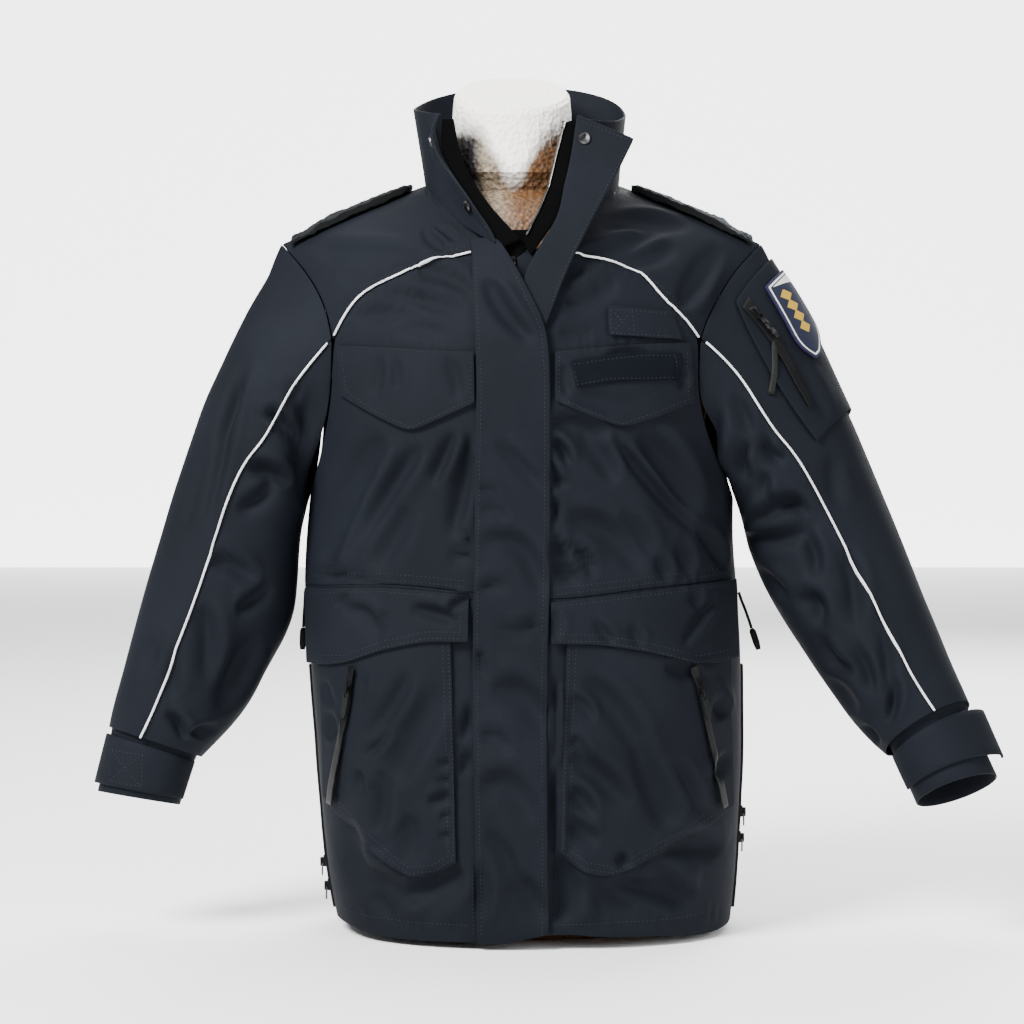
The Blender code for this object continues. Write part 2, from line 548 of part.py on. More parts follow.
def panel_rows(inner_x, low, high, outer_z, wearer, columns):
    """Rows of (x, z) on the front, from inner_x out; low and high give the end rows' z from x."""
    rows = []
    for z_out in outer_z:
        part = (z_out - outer_z[0]) / (outer_z[-1] - outer_z[0])
        x = even_columns(inner_x, edge_x(z_out, -1, wearer), z_out, columns)
        z = low(x) * (1 - part) + high(x) * part
        bend = np.linspace(0, 1, columns) ** 3
        rows.append(np.stack([x, z + (z_out - z[-1]) * bend], -1))
    return np.array(rows)


def add_panel(name, rows, side):
    """A cloth panel on the body from rows of (x, z)."""
    return add_sheet(name, lambda lift: body(rows[..., 0], rows[..., 1], side, lift), CLOTH, "shell")


def along_seam(table, shift):
    """The height of a seam or hem at x, moved up by shift."""
    return lambda x: smooth(table["x"], table["z"], x) + shift


def add_fronts():
    columns = 12
    for wearer in ("right", "left"):
        sign = sign_of(wearer)
        inner = ZIP_CENTRE_X + sign * (ZIP_HALF + SEAM_GAP)
        side_x = sign * 216.0
        hem = along_seam(HEM, 0)
        top = along_seam(WAIST, -SEAM_GAP / 2)
        skirt_z = np.linspace(float(hem(side_x)), float(top(side_x)), 9)
        add_panel("skirt_" + wearer, panel_rows(inner, hem, top, skirt_z, wearer, columns), -1)
        low = along_seam(WAIST, SEAM_GAP / 2)
        yoke = along_seam(YOKE_SEAM[wearer], -SEAM_GAP / 2)
        armhole = [z for z in ARMHOLE_ROWS if z <= YOKE_END_Z]
        chest_z = (float(low(side_x)), 388, *armhole)
        chest = panel_rows(inner, low, yoke, chest_z, wearer, columns)
        add_panel("front_" + wearer, chest, -1)
        add_yoke(wearer, chest[-1])


def neckline_at(place):
    count = range(len(NECKLINE["x"]))
    return np.stack([smooth(count, NECKLINE["x"], place), smooth(count, NECKLINE["z"], place)], -1)


def add_yoke(wearer, seam):
    """The yoke, from the chest panel's upper row to the neckline and the shoulder seam."""
    sign = sign_of(wearer)
    columns = len(seam)
    neck_count = columns // 2
    neck = neckline_at(np.linspace(0, 5, neck_count, endpoint=False)) - np.array([0, SEAM_GAP])
    tip = armhole_x(SHOULDER_TIP_Z, -1, wearer) - SEAM_GAP / 2
    x = np.linspace(SHOULDER["neck_x"], tip, columns - neck_count)
    top = np.concatenate([neck, np.stack([x, shoulder_height(x)], -1)]) * np.array([sign, 1])
    low = seam + np.array([0, SEAM_GAP])
    rows = []
    for z_out in (z for z in ARMHOLE_ROWS if z >= YOKE_END_Z):
        part = (z_out - YOKE_END_Z) / (SHOULDER_TIP_Z - YOKE_END_Z)
        row = low * (1 - part) + top * part
        bend = np.linspace(0, 1, columns) ** 3
        row += (np.array([edge_x(z_out, -1, wearer), z_out]) - row[-1]) * bend[:, None]
        rows.append(row)
    add_panel("yoke_" + wearer, np.array(rows), -1)


def back_top(columns):
    """The back's upper edge from the right shoulder tip to the left one, as (x, z)."""
    half = columns // 2
    tip = armhole_x(SHOULDER_TIP_Z, 1, "right") - SEAM_GAP / 2
    x = np.linspace(tip, SHOULDER["neck_x"], half - 3)
    neck = neckline_at(np.linspace(5, 9, 5)[1:]) - np.array([0, SEAM_GAP])
    left = np.concatenate([np.stack([x, shoulder_height(x)], -1), neck])
    right = left * np.array([-1, 1])
    return np.concatenate([right, left[:-1][::-1]])


def add_back():
    columns, waist = 21, 345
    top = back_top(columns)

    def level_row(z):
        return np.stack([even_columns(edge_x(z, 1, "right"), edge_x(z, 1, "left"), z, columns),
                         np.full(columns, z)], -1)

    skirt = [level_row(z) for z in np.linspace(12, waist - SEAM_GAP / 2, 9)]
    add_panel("back_skirt", np.array(skirt), 1)
    upper = [level_row(z) for z in (waist + SEAM_GAP / 2, 388)]
    for z in ARMHOLE_ROWS:
        row = level_row(z)
        part = np.clip((z - 500) / (SHOULDER_TIP_Z - 500), 0, 1)
        row = row * (1 - part) + top * part
        row[:, 0] *= edge_x(z, 1, "left") / row[-1, 0]
        row[[0, -1], 1] = z
        upper.append(row)
    add_panel("back", np.array(upper), 1)


def armhole_turn(z):
    """The turn round the armhole ring at which a height lies."""
    middle = (SHOULDER_TIP_Z + ARMPIT_Z) / 2
    return np.arccos(np.clip((np.asarray(z, float) - middle) / (SHOULDER_TIP_Z - middle), -1, 1))


def front_seam(ring):
    """The turn of the piped seam along the sleeve."""
    drift = np.radians(smooth(range(len(SLEEVE_SEAM["drift"])), SLEEVE_SEAM["drift"], ring))
    return armhole_turn(SLEEVE_SEAM["front_z"]) + drift


def sleeve_turns(part):
    """Turns of a sleeve panel's columns at the armhole, which meet the body panels' points."""
    turns = armhole_turn(ARMHOLE_ROWS)
    front, back = armhole_turn(SLEEVE_SEAM["front_z"]), -armhole_turn(SLEEVE_SEAM["back_z"])
    if part == "top":
        rear = sorted(-t for t in turns if -t > back + 1e-6)
        fore = sorted(t for t in turns if 0 < t < front - 1e-6)
        return np.array([back, *rear, *fore, front])
    fore = sorted(t for t in turns if t > front + 1e-6)
    rear = sorted(2 * np.pi - t for t in turns if np.pi > t > -back + 1e-6)
    return np.array([front, *fore, *rear, back + 2 * np.pi])


def add_sleeves():
    split = SEAM_GAP / 2 / 75
    for wearer in ("right", "left"):
        last = len(SLEEVE[wearer]["tilt"]) - 1
        ring = np.concatenate([np.arange(0, last), [last - 0.5, last]]).astype(float)[:, None]
        for part in ("top", "under"):
            turn = sleeve_turns(part)
            share = (turn - turn[0]) / (turn[-1] - turn[0])
            drift = front_seam(ring) - front_seam(0)
            turn = turn + drift * (share if part == "top" else 1 - share)
            turn = turn + split * (1 - 2 * share)
            add_sheet(f"sleeve_{part}_{wearer}",
                      lambda lift, w=wearer, r=ring, t=turn: sleeve(w, r, t, lift), CLOTH, "shell")


def strap_surface(wearer, share, turn, lift):
    """Points over a cuff; the strap's free end stands off from it."""
    strap = CUFF_STRAP[wearer]
    last = len(CUFF[wearer]["tilt"]) - 1
    off = np.degrees(turn) - strap["from"]
    rise = strap["lift"] + strap["flare"] * np.exp(-((off / 34) ** 2))
    ring = (strap["start"] + (strap["end"] - strap["start"]) * share) * last
    return cuff(wearer, ring, turn, lift + rise)


def add_cuffs():
    for wearer in ("right", "left"):
        last = len(CUFF[wearer]["tilt"]) - 1
        turn = np.linspace(0, 2 * np.pi, CUFF_COLUMNS, endpoint=False)[None, :]
        ring = np.linspace(0, last, 4)[:, None]
        rise = CUFF_FLARE[wearer] * np.clip(1 - ring, 0, 1) + 0 * turn
        add_sheet("cuff_" + wearer, lambda lift, w=wearer, r=ring, t=turn, o=rise: cuff(w, r, t, lift + o),
                  CLOTH, "shell", ring_closed=True)
        strap = CUFF_STRAP[wearer]
        share = np.linspace(0, 1, 3)[:, None]
        turn = np.radians(np.linspace(strap["from"], strap["to"], 15))[None, :]
        add_sheet("cuff_strap_" + wearer,
                  lambda lift, w=wearer, s=share, t=turn: strap_surface(w, s, t, lift + DOUBLE_CLOTH),
                  DOUBLE_CLOTH, "shell")


def grid_normals(grid, outward):
    """Unit normals of a grid of points, on the side that looks along outward."""
    normal = np.cross(np.gradient(grid, axis=1), np.gradient(grid, axis=0))
    normal /= np.linalg.norm(normal, axis=-1, keepdims=True)
    return -normal if np.sum(normal * outward) < 0 else normal


def refine(grid, rows, columns):
    """A finer smooth grid through a coarse one."""
    tall = np.stack([smooth_rows(grid[:, j], rows) for j in range(grid.shape[1])], 1)
    return np.stack([smooth_rows(tall[i], columns) for i in range(rows)], 0)


def smooth_rows(line, count):
    """A line of points read again at count even places."""
    place = np.linspace(0, len(line) - 1, count)
    return np.stack([smooth(range(len(line)), line[:, k], place) for k in range(line.shape[1])], -1)


def columns_of(table, prefix):
    return np.stack([np.array(table[f"{prefix}_{axis}"], float) for axis in "xyz"], -1)


def neckline_point(foot):
    """A point just above the neckline: 0 is the centre back, 1 a side; the right is below 0."""
    place = 9 - 4 * min(abs(foot), 1) - 3 * max(abs(foot) - 1, 0)
    x, z = neckline_at(place)
    side = 1 if abs(foot) < 1 else -1
    z = min(z, float(shoulder_height(x)))
    return body(np.sign(foot) * x, z, side) + np.array([0, 0, SEAM_GAP + 0.3])


def collar_grid():
    foot = np.array([neckline_point(place) for place in COLLAR["foot"]])
    rim = columns_of(COLLAR, "rim")
    share = np.linspace(0, 1, 6)[:, None, None]
    grid = foot * (1 - share) + rim * share
    right, left = (np.stack([COLLAR_EDGE[side][axis] for axis in "xyz"], -1).astype(float)[::-1]
                   for side in ("right", "left"))
    grid = np.concatenate([right[:, None], grid, left[:, None]], axis=1)
    return refine(grid, 6, 27)


def add_collar():
    grid = collar_grid()
    normal = grid_normals(grid, grid * np.array([1, 1, 0]))
    add_wall("collar", grid, grid - normal * DOUBLE_CLOTH, "shell")


def add_neck_pieces():
    toward_front = np.array([0, -1, 0])
    for wearer in ("right", "left"):
        table = FACING[wearer]
        grid = refine(np.stack([columns_of(table, "zip"), columns_of(table, "fold")], 1), 9, 3)
        normal = grid_normals(grid, toward_front)
        add_wall("collar_facing_" + wearer, grid, grid - normal * CLOTH, "facing")
    grid = refine(np.stack([columns_of(NECK_FLAP, "fold"), columns_of(NECK_FLAP, "free")], 1), 12, 4)
    normal = grid_normals(grid, toward_front)
    add_wall("neck_flap", grid, grid - normal * DOUBLE_CLOTH, "shell")


def add_storm_flap():
    rows = len(STORM_FLAP["z"])
    share = np.linspace(0, 1, 4)
    sewn, free = (np.array(STORM_FLAP[edge], float)[:, None] for edge in ("sewn_x", "free_x"))
    x = sewn + (free - sewn) * share
    z = np.broadcast_to(np.array(STORM_FLAP["z"], float)[:, None], (rows, 4)).copy()
    z[0] = smooth(HEM["x"], HEM["z"], x[0]) - 1
    off = np.array(STORM_FLAP["free_off"], float)[:, None] * share
    forward = off[..., None] * np.array([0, -1, 0])
    lay = DOUBLE_CLOTH + 2.5 * LAY_GAP
    add_sheet("storm_flap", lambda lift: body(x, z, -1, lay + lift) + forward, DOUBLE_CLOTH, "shell")


def flap_grid(table, rows, columns):
    """Places (x, z) between a flap's upper and lower edge, straight between the table's columns."""
    own = np.linspace(0, 1, len(table["top_x"]))
    at = np.linspace(0, 1, columns)
    edge = {name: np.interp(at, own, table[name]) for name in table}
    share = np.linspace(0, 1, rows)[:, None]
    x = edge["top_x"] * (1 - share) + edge["low_x"] * share
    z = edge["top_z"] * (1 - share) + edge["low_z"] * share
    return x, z, share


def add_patch(name, table, rise, thickness, kind, rows=4, columns=9):
    """A flat piece sewn on the front; rise gives how far its inner face stands off the panel."""
    x, z, share = flap_grid(table, rows, columns)
    off = rise(x, z, share)
    add_sheet(name, lambda lift: body(x, z, -1, off + thickness + lift), thickness, kind)


def pocket_bulge(share, columns):
    """How far a patch pocket stands off, fullest below its middle and flat at its edges."""
    across = np.sin(np.pi * np.linspace(0, 1, columns)) ** 0.7
    return POCKET_BULGE * across * np.sin(np.pi * share**0.8) ** 0.8


def add_front_patches():
    lay = 3 * LAY_GAP
    for wearer in ("right", "left"):
        add_patch("chest_flap_" + wearer, CHEST_FLAP[wearer],
                  lambda x, z, share: 0.8 + 1.1 * share, DOUBLE_CLOTH, "shell", 4, 9)
        add_patch("pocket_flap_" + wearer, POCKET_FLAP[wearer],
                  lambda x, z, share: lay + 4.4 * share, DOUBLE_CLOTH, "shell", 4, 11)
        add_patch("patch_pocket_" + wearer, PATCH_POCKET[wearer],
                  lambda x, z, share: lay + 0.9 + pocket_bulge(share, 9), CLOTH, "shell", 9, 9)
    over_flap = 0.8 + DOUBLE_CLOTH + 0.9
    add_patch("name_strip", NAME_STRIP, lambda x, z, share: over_flap + 0.5 * share, CLOTH, "shell", 2, 7)
    add_patch("name_loop", NAME_LOOP, lambda x, z, share: lay + 0 * x, CLOTH, "shell", 2, 6)


def direction(vector):
    vector = np.asarray(vector, float)
    return vector / np.linalg.norm(vector)


def place_at(origin, down, out):
    """A matrix whose Y runs down the zip and whose Z looks outward."""
    out = direction(out)
    down = direction(np.asarray(down) - out * np.dot(down, out))
    across = np.cross(down, out)
    frame = Matrix.Identity(4)
    for row in range(3):
        for column, axis in enumerate((across, down, out)):
            frame[row][column] = axis[row]
        frame[row][3] = origin[row] * MM
    return frame


def add_cutter(name, size, centre, frame):
    """A box of a slider, used by a Boolean."""
    shape = bmesh.new()
    bmesh.ops.create_cube(shape, size=1)
    bmesh.ops.scale(shape, vec=[value * MM for value in size], verts=shape.verts)
    bmesh.ops.translate(shape, vec=[value * MM for value in centre], verts=shape.verts)
    mesh = bpy.data.meshes.new(name)
    shape.to_mesh(mesh)
    shape.free()
    item = bpy.data.objects.new(name, mesh)
    item.matrix_world = frame
    item.hide_render = True
    item.display_type = "WIRE"
    CUTTERS.objects.link(item)
    return item


def add_slider(tape, number, frame):
    """Joins a slider with its bridge to a zip tape and bores the tunnel for the tab's bar."""
    body_z = SLIDER["height"] / 2 - 0.6
    bridge_length = SLIDER["bridge_to"] - SLIDER["bridge_from"]
    bridge_top = SLIDER["height"] + SLIDER["tunnel"] + SLIDER["foot"]
    middle = (SLIDER["bridge_to"] + SLIDER["bridge_from"]) / 2
    steps = (
        ("UNION", (SLIDER["width"], SLIDER["length"], SLIDER["height"] + 1.2), (0, 0, body_z)),
        ("UNION", (SLIDER["bridge_width"], bridge_length, bridge_top - 0.5),
         (0, middle, (bridge_top + 0.5) / 2)),
        ("DIFFERENCE", (3 * SLIDER["bridge_width"], bridge_length - 2 * SLIDER["foot"], SLIDER["tunnel"]),
         (0, middle, SLIDER["height"] + SLIDER["tunnel"] / 2)),
    )
    for step, (operation, size, centre) in enumerate(steps):
        cut = tape.modifiers.new(f"slider_{number}_{step}", "BOOLEAN")
        cut.operation = operation
        cut.object = add_cutter(f"{tape.name}_{number}_{step}", size, centre, frame)


def add_tab(name, frame, length, kind="metal"):
    """A pull tab with an eye, its origin on the bar that it swings on."""
    half, eye = TAB["half"], TAB["eye_half"]
    bar = TAB["thick"] / 2
    outline = [(-half, -bar), (half, -bar), (half, length * 0.8), (half * 0.55, length),
               (-half * 0.55, length), (-half, length * 0.8)]
    hole = [(-eye, bar), (-eye, bar + TAB["eye_length"]), (eye, bar + TAB["eye_length"]), (eye, bar)]
    curve = bpy.data.curves.new(name, "CURVE")
    curve.dimensions = "2D"
    curve.fill_mode = "BOTH"
    curve.extrude = TAB["thick"] / 2 * MM
    for points in (outline, hole):
        spline = curve.splines.new("POLY")
        spline.points.add(len(points) - 1)
        for point, (x, y) in zip(spline.points, points):
            point.co = (x * MM, y * MM, 0, 1)
        spline.use_cyclic_u = True
    curve.materials.append(material(kind))
    item = bpy.data.objects.new(name, curve)
    lift = Matrix.Translation((0, SLIDER["bar_at"] * MM, (SLIDER["height"] + SLIDER["tunnel"] / 2) * MM))
    item.matrix_world = frame @ lift
    PARTS.objects.link(item)


def ribbon(path, across, half_width, lift, surface):
    """A grid of two edges and a middle along a path of places on a surface."""
    return np.stack([surface(path + across * shift, lift) for shift in (-half_width, 0, half_width)], 1)


def tape_across(path):
    run = np.gradient(path, axis=0)
    run /= np.linalg.norm(run, axis=-1, keepdims=True)
    return np.stack([-run[:, 1], run[:, 0]], -1)


def on_front(place, lift):
    return body(place[..., 0], place[..., 1], -1, lift)


def add_pocket_zips():
    over_pocket = 3 * LAY_GAP + CLOTH + POCKET_BULGE + 0.3
    for wearer in ("right", "left"):
        table = POCKET_ZIP[wearer]
        path = smooth_rows(np.stack([table["x"], table["z"]], -1).astype(float), 8)
        across = tape_across(path)
        outer, inner = (ribbon(path, across, ZIP_TAPE_WIDTH / 2, over_pocket + lift, on_front)
                        for lift in (ZIP_TAPE, 0))
        tape = add_wall("pocket_zip_" + wearer, outer, inner, "tape")
        top, under = outer[1, 1], outer[2, 1]
        out = direction(body(*path[1], -1, 5.0) - body(*path[1], -1, 0.0))
        frame = place_at(top, under - top, out)
        add_slider(tape, 0, frame)
        add_tab("pocket_pull_" + wearer, frame, 26, "rubber")


def add_front_zip():
    z = np.concatenate([[9], np.linspace(40, 640, 16), [664]])
    path = np.stack([np.full(len(z), float(ZIP_CENTRE_X)), z], -1)
    across = np.tile([1.0, 0.0], (len(z), 1))
    outer, inner = (ribbon(path, across, ZIP_HALF - SEAM_GAP, lift, on_front) for lift in (0.0, -CLOTH))
    tape = add_wall("front_zip", outer, inner, "tape")
    at, above, off = (body(ZIP_CENTRE_X, z, -1, lift) for z, lift in ((658, 0), (660, 0), (658, 5)))
    frame = place_at(at, at - above, off - at)
    add_slider(tape, 0, frame)
    add_tab("front_zip_pull", frame, 11)


def side_point(wearer, y, z, lift):
    """Points on the body beside the side seam, given by y and z."""
    y, z = np.broadcast_arrays(np.asarray(y, float), np.asarray(z, float))

    def plain(y, z):
        deep = np.where(y < 0, smooth(BODY["z"], BODY["front"], z), smooth(BODY["z"], BODY["back"], z))
        out = smooth(BODY["z"], BODY["half"], z) * (1 - (np.abs(y) / deep) ** SQUARENESS) ** (1 / SQUARENESS)
        return np.stack([smooth(BODY["z"], BODY["centre"], z) + sign_of(wearer) * out, y, z], -1)

    normal = np.cross(plain(y + 0.5, z) - plain(y - 0.5, z), plain(y, z + 0.5) - plain(y, z - 0.5))
    normal /= np.linalg.norm(normal, axis=-1, keepdims=True)
    normal *= np.sign(normal[..., :1]) * sign_of(wearer)
    return plain(y, z) + normal * lift


def add_side_zips():
    for wearer in ("right", "left"):
        z = np.linspace(SIDE_ZIP["low_z"], SIDE_ZIP["high_z"], 9)[:, None]
        half = SIDE_ZIP["width"] / 2
        y = np.array([-half, -half / 3, half / 3, half])[None, :]
        outer, inner = (side_point(wearer, y, z, 2 * LAY_GAP + lift) for lift in (ZIP_TAPE, 0))
        tape = add_wall("side_zip_" + wearer, outer, inner, "tape")
        for number, pull_z in enumerate(SIDE_ZIP["pull_z"][wearer]):
            at = side_point(wearer, 0, pull_z, 2 * LAY_GAP + ZIP_TAPE)
            lower = side_point(wearer, 0, pull_z - 20, 2 * LAY_GAP + ZIP_TAPE)
            frame = place_at(at, lower - at, (sign_of(wearer), 0, 0))
            add_slider(tape, number, frame)
            add_tab(f"side_pull_{wearer}_{number + 1}", frame, 12)


def add_sleeve_pocket():
    wearer = "left"
    rows, columns = 6, 11

    def grid(table, low, high, rows, columns):
        ring = smooth_rows(np.array(table["ring"], float)[:, None], rows)
        low = np.radians(smooth_rows(np.array(low, float)[:, None], rows))
        high = np.radians(smooth_rows(np.array(high, float)[:, None], rows))
        return ring, low + (high - low) * np.linspace(0, 1, columns)

    lay = 4 * LAY_GAP
    ring, turn = grid(SLEEVE_POCKET, SLEEVE_POCKET["low"], SLEEVE_POCKET["high"], rows, columns)
    add_sheet("sleeve_pocket", lambda lift: sleeve(wearer, ring, turn, lay + CLOTH + lift), CLOTH, "shell")
    over = 2 * lay + CLOTH
    angle = np.array(SLEEVE_ZIP["angle"], float)
    half = np.degrees(ZIP_TAPE_WIDTH / 2 / 82)
    ring, turn = grid(SLEEVE_ZIP, angle - half, angle + half, 7, 3)
    outer, inner = (sleeve(wearer, ring, turn, over - 0.7 + lift) for lift in (ZIP_TAPE, 0))
    tape = add_wall("sleeve_zip", outer, inner, "tape")
    out = grid_normals(outer, outer[3, 1] * np.array([1, 0, 0]))[1, 1]
    frame = place_at(outer[1, 1], outer[2, 1] - outer[1, 1], out)
    add_slider(tape, 0, frame)
    add_tab("sleeve_zip_pull", frame, 30)
    ring, turn = grid(ARM_PATCH, ARM_PATCH["low"], ARM_PATCH["high"], 7, 5)
    add_sheet("arm_patch", lambda lift: sleeve(wearer, ring, turn, over + 2.2 + lift), 2.2, "badge")


def shoulder_top(x, y):
    """The height of the shoulder's surface at a place seen from above."""
    ridge = shoulder_height(x)
    deep = np.where(y < 0, smooth(BODY["z"], BODY["front"], ridge), smooth(BODY["z"], BODY["back"], ridge))
    centre, half = (smooth(BODY["z"], BODY[name], ridge) for name in ("centre", "half"))
    sideways = 1 - (np.abs(x - centre) / half) ** SQUARENESS
    upward = (np.abs(y) / deep) ** SQUARENESS / sideways
    return ridge - SHOULDER["dome"] * (1 - (1 - upward) ** (1 / SQUARENESS))


def add_epaulettes():
    for wearer in ("right", "left"):
        x = np.array(EPAULETTE["x"], float)[:, None]
        y = np.array(EPAULETTE["half"], float)[:, None] * np.linspace(-1, 1, 5)[None, :]
        surface = shoulder_top(x, y)
        under = surface + np.array(EPAULETTE["lift"], float)[:, None]
        over = under + np.array(EPAULETTE["thick"], float)[:, None]
        x = np.broadcast_to(x, y.shape) * sign_of(wearer)
        add_wall("epaulette_" + wearer, np.stack([x, y, over], -1), np.stack([x, y, under], -1), "shell")


def add_tube(name, points, radius, kind, resolution=1):
    curve = bpy.data.curves.new(name, "CURVE")
    curve.dimensions = "3D"
    curve.bevel_depth = radius * MM
    curve.bevel_resolution = resolution
    curve.use_fill_caps = True
    spline = curve.splines.new("POLY")
    spline.points.add(len(points) - 1)
    for point, place in zip(spline.points, points):
        point.co = (*(np.asarray(place) * MM), 1)
    curve.materials.append(material(kind))
    PARTS.objects.link(bpy.data.objects.new(name, curve))


def add_piping():
    lift = PIPING_RADIUS + 2 * LAY_GAP
    for wearer in ("right", "left"):
        sign = sign_of(wearer)
        end = armhole_x(YOKE_END_Z, -1, wearer) - 3
        x = sign * np.linspace(49, end, 15)
        add_tube("yoke_piping_" + wearer,
                 body(x, smooth(YOKE_SEAM[wearer]["x"], YOKE_SEAM[wearer]["z"], x), -1, lift),
                 PIPING_RADIUS, "reflective")
        ring = np.arange(0.0, len(SLEEVE[wearer]["tilt"]))
        path = sleeve(wearer, ring, front_seam(ring), lift)
        path[0] = path[0] * 0.8 + path[1] * 0.2
        add_tube("sleeve_piping_" + wearer, path, PIPING_RADIUS, "reflective")


def add_turned(name, profile, frame, kind, segments=12):
    """A solid of revolution about Z from (radius, height) pairs, lowest first."""
    shape = bmesh.new()
    rings = []
    for radius, height in profile:
        made = bmesh.ops.create_circle(shape, cap_ends=False, radius=radius * MM, segments=segments)
        bmesh.ops.translate(shape, vec=(0, 0, height * MM), verts=made["verts"])
        rings.append(made["verts"])
    for low, high in zip(rings, rings[1:]):
        for i in range(segments):
            n = (i + 1) % segments
            shape.faces.new((low[i], low[n], high[n], high[i]))
    shape.faces.new(rings[0][::-1])
    shape.faces.new(rings[-1])
    bmesh.ops.recalc_face_normals(shape, faces=shape.faces)
    mesh = bpy.data.meshes.new(name)
    shape.to_mesh(mesh)
    shape.free()
    mesh.shade_smooth()
    mesh.set_sharp_from_angle(angle=np.radians(40))
    mesh.materials.append(material(kind))
    item = bpy.data.objects.new(name, mesh)
    item.matrix_world = frame
    PARTS.objects.link(item)


def add_drawcords():
    for wearer in ("right", "left"):
        table = DRAWCORD[wearer]
        path = np.stack([table["x"], np.full(len(table["x"]), table["y"]), table["z"]], -1).astype(float)
        add_tube("drawcord_" + wearer, smooth_rows(path, 8), CORD_RADIUS, "rubber", 2)
        run = direction(path[-1] - path[-2])
        start = path[-1] + run * SEAM_GAP
        frame = place_at(start, (0, 1, 0), run)
        r, foot, length = CORD_END["radius"], CORD_END["foot_radius"], CORD_END["length"]
        add_turned("cord_end_" + wearer, [(1.9, 0), (r, 3), (r, length * 0.7), (foot, length)],
                   frame, "rubber", 10)


def add_snaps():
    rim = [(SNAP["radius"], 0), (SNAP["radius"], SNAP["height"] * 0.5),
           (SNAP["radius"] * 0.8, SNAP["height"]), (SNAP["radius"] * 0.3, SNAP["height"] * 0.8)]
    collar = collar_grid()
    outward = grid_normals(collar, collar * np.array([1, 1, 0]))
    flap = refine(np.stack([columns_of(NECK_FLAP, "fold"), columns_of(NECK_FLAP, "free")], 1), 12, 4)
    toward = grid_normals(flap, np.array([0, -1, 0]))
    # Each snap: its sheet, that sheet's normals, its place as row and column, and its gap.
    places = {"snap_flap": (collar, outward, 1.05, 0.5, 0.5), "snap_collar": (collar, outward, 3.7, 0.9, 1.6),
              "snap_neck": (flap, toward, 0.65, 0.6, 0.5)}
    for name, (grid, normal, row, column, off) in places.items():
        r, c = int(row), int(column)
        u, v = row - r, column - c
        weights = (((1 - u) * (1 - v), r, c), ((1 - u) * v, r, c + 1),
                   (u * (1 - v), r + 1, c), (u * v, r + 1, c + 1))
        at = sum(weight * grid[i, j] for weight, i, j in weights)
        out = direction(sum(weight * normal[i, j] for weight, i, j in weights))
        add_turned(name, rim, place_at(at + out * off, (0, 0, -1), out), "metal", 12)


def form_half(z):
    """Half the form's width on its shoulders, one seat below the anorak's wall."""
    slope = np.arctan(SHOULDER["slope"])
    top = z + CLOTH / np.cos(slope) + SHOULDER_SEAT
    x = np.linspace(0, 260, 521)
    return np.interp(-top, -shoulder_height(x), x)


def add_form():
    turn = np.linspace(0, 2 * np.pi, FORM_COLUMNS, endpoint=False)
    sine, cosine = np.sin(turn), np.cos(turn)
    points = []
    for z, centre, half, front, back, tilt, square in zip(*FORM.values()):
        half = half or form_half(z)
        power = 2 / square
        x = centre + half * np.sign(cosine) * np.abs(cosine) ** power
        y = np.where(sine > 0, -front, back) * np.abs(sine) ** power
        points.append(np.stack([x, y, z + tilt * y], -1))
    points = np.array(points)
    rows = len(points)
    faces = []
    for r in range(rows - 1):
        for c in range(FORM_COLUMNS):
            n = (c + 1) % FORM_COLUMNS
            faces.append([r * FORM_COLUMNS + c, r * FORM_COLUMNS + n,
                          (r + 1) * FORM_COLUMNS + n, (r + 1) * FORM_COLUMNS + c])
    faces.append(list(range(FORM_COLUMNS))[::-1])
    faces.append([(rows - 1) * FORM_COLUMNS + c for c in range(FORM_COLUMNS)])
    add_mesh("dress_form", points.reshape(-1, 3), faces, "foam")


def make_all():
    add_form()
    add_fronts()
    add_back()
    add_sleeves()
    add_cuffs()
    add_collar()
    add_neck_pieces()
    add_storm_flap()
    add_front_patches()
    add_pocket_zips()
    add_front_zip()
    add_side_zips()
    add_sleeve_pocket()
    add_epaulettes()
    add_piping()
    add_drawcords()
    add_snaps()


make_all()
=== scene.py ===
# Uniform anorak on a limbless foam form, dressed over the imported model.
import json
import bmesh
import bpy
import numpy as np
from math import pi, radians
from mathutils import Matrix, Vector
from mathutils.bvhtree import BVHTree
from mathutils.geometry import convex_hull_2d

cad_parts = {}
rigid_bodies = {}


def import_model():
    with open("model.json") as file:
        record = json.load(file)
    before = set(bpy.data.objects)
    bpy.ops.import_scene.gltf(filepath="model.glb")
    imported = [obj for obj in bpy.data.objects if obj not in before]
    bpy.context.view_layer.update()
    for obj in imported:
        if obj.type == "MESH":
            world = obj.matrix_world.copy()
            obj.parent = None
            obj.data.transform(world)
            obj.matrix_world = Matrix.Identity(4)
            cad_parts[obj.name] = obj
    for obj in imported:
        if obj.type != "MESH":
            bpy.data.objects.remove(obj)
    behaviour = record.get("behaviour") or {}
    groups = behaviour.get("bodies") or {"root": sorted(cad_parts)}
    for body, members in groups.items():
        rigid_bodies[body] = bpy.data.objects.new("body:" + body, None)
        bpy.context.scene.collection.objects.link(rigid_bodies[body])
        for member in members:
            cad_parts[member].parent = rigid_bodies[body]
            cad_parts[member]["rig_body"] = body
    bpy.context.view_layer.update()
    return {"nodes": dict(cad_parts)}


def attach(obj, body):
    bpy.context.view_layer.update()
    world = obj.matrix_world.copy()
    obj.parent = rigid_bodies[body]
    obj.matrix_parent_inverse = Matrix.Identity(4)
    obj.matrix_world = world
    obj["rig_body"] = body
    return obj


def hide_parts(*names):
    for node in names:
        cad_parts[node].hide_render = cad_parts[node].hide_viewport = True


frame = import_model()
nodes = frame["nodes"]
scene = bpy.context.scene
mm = 0.001
bpy.ops.object.select_all(action="DESELECT")

cameraSettings = {"place": (-0.010, -3.0, 0.538), "target": (-0.010, 0.0, 0.414), "lens": 105.6}


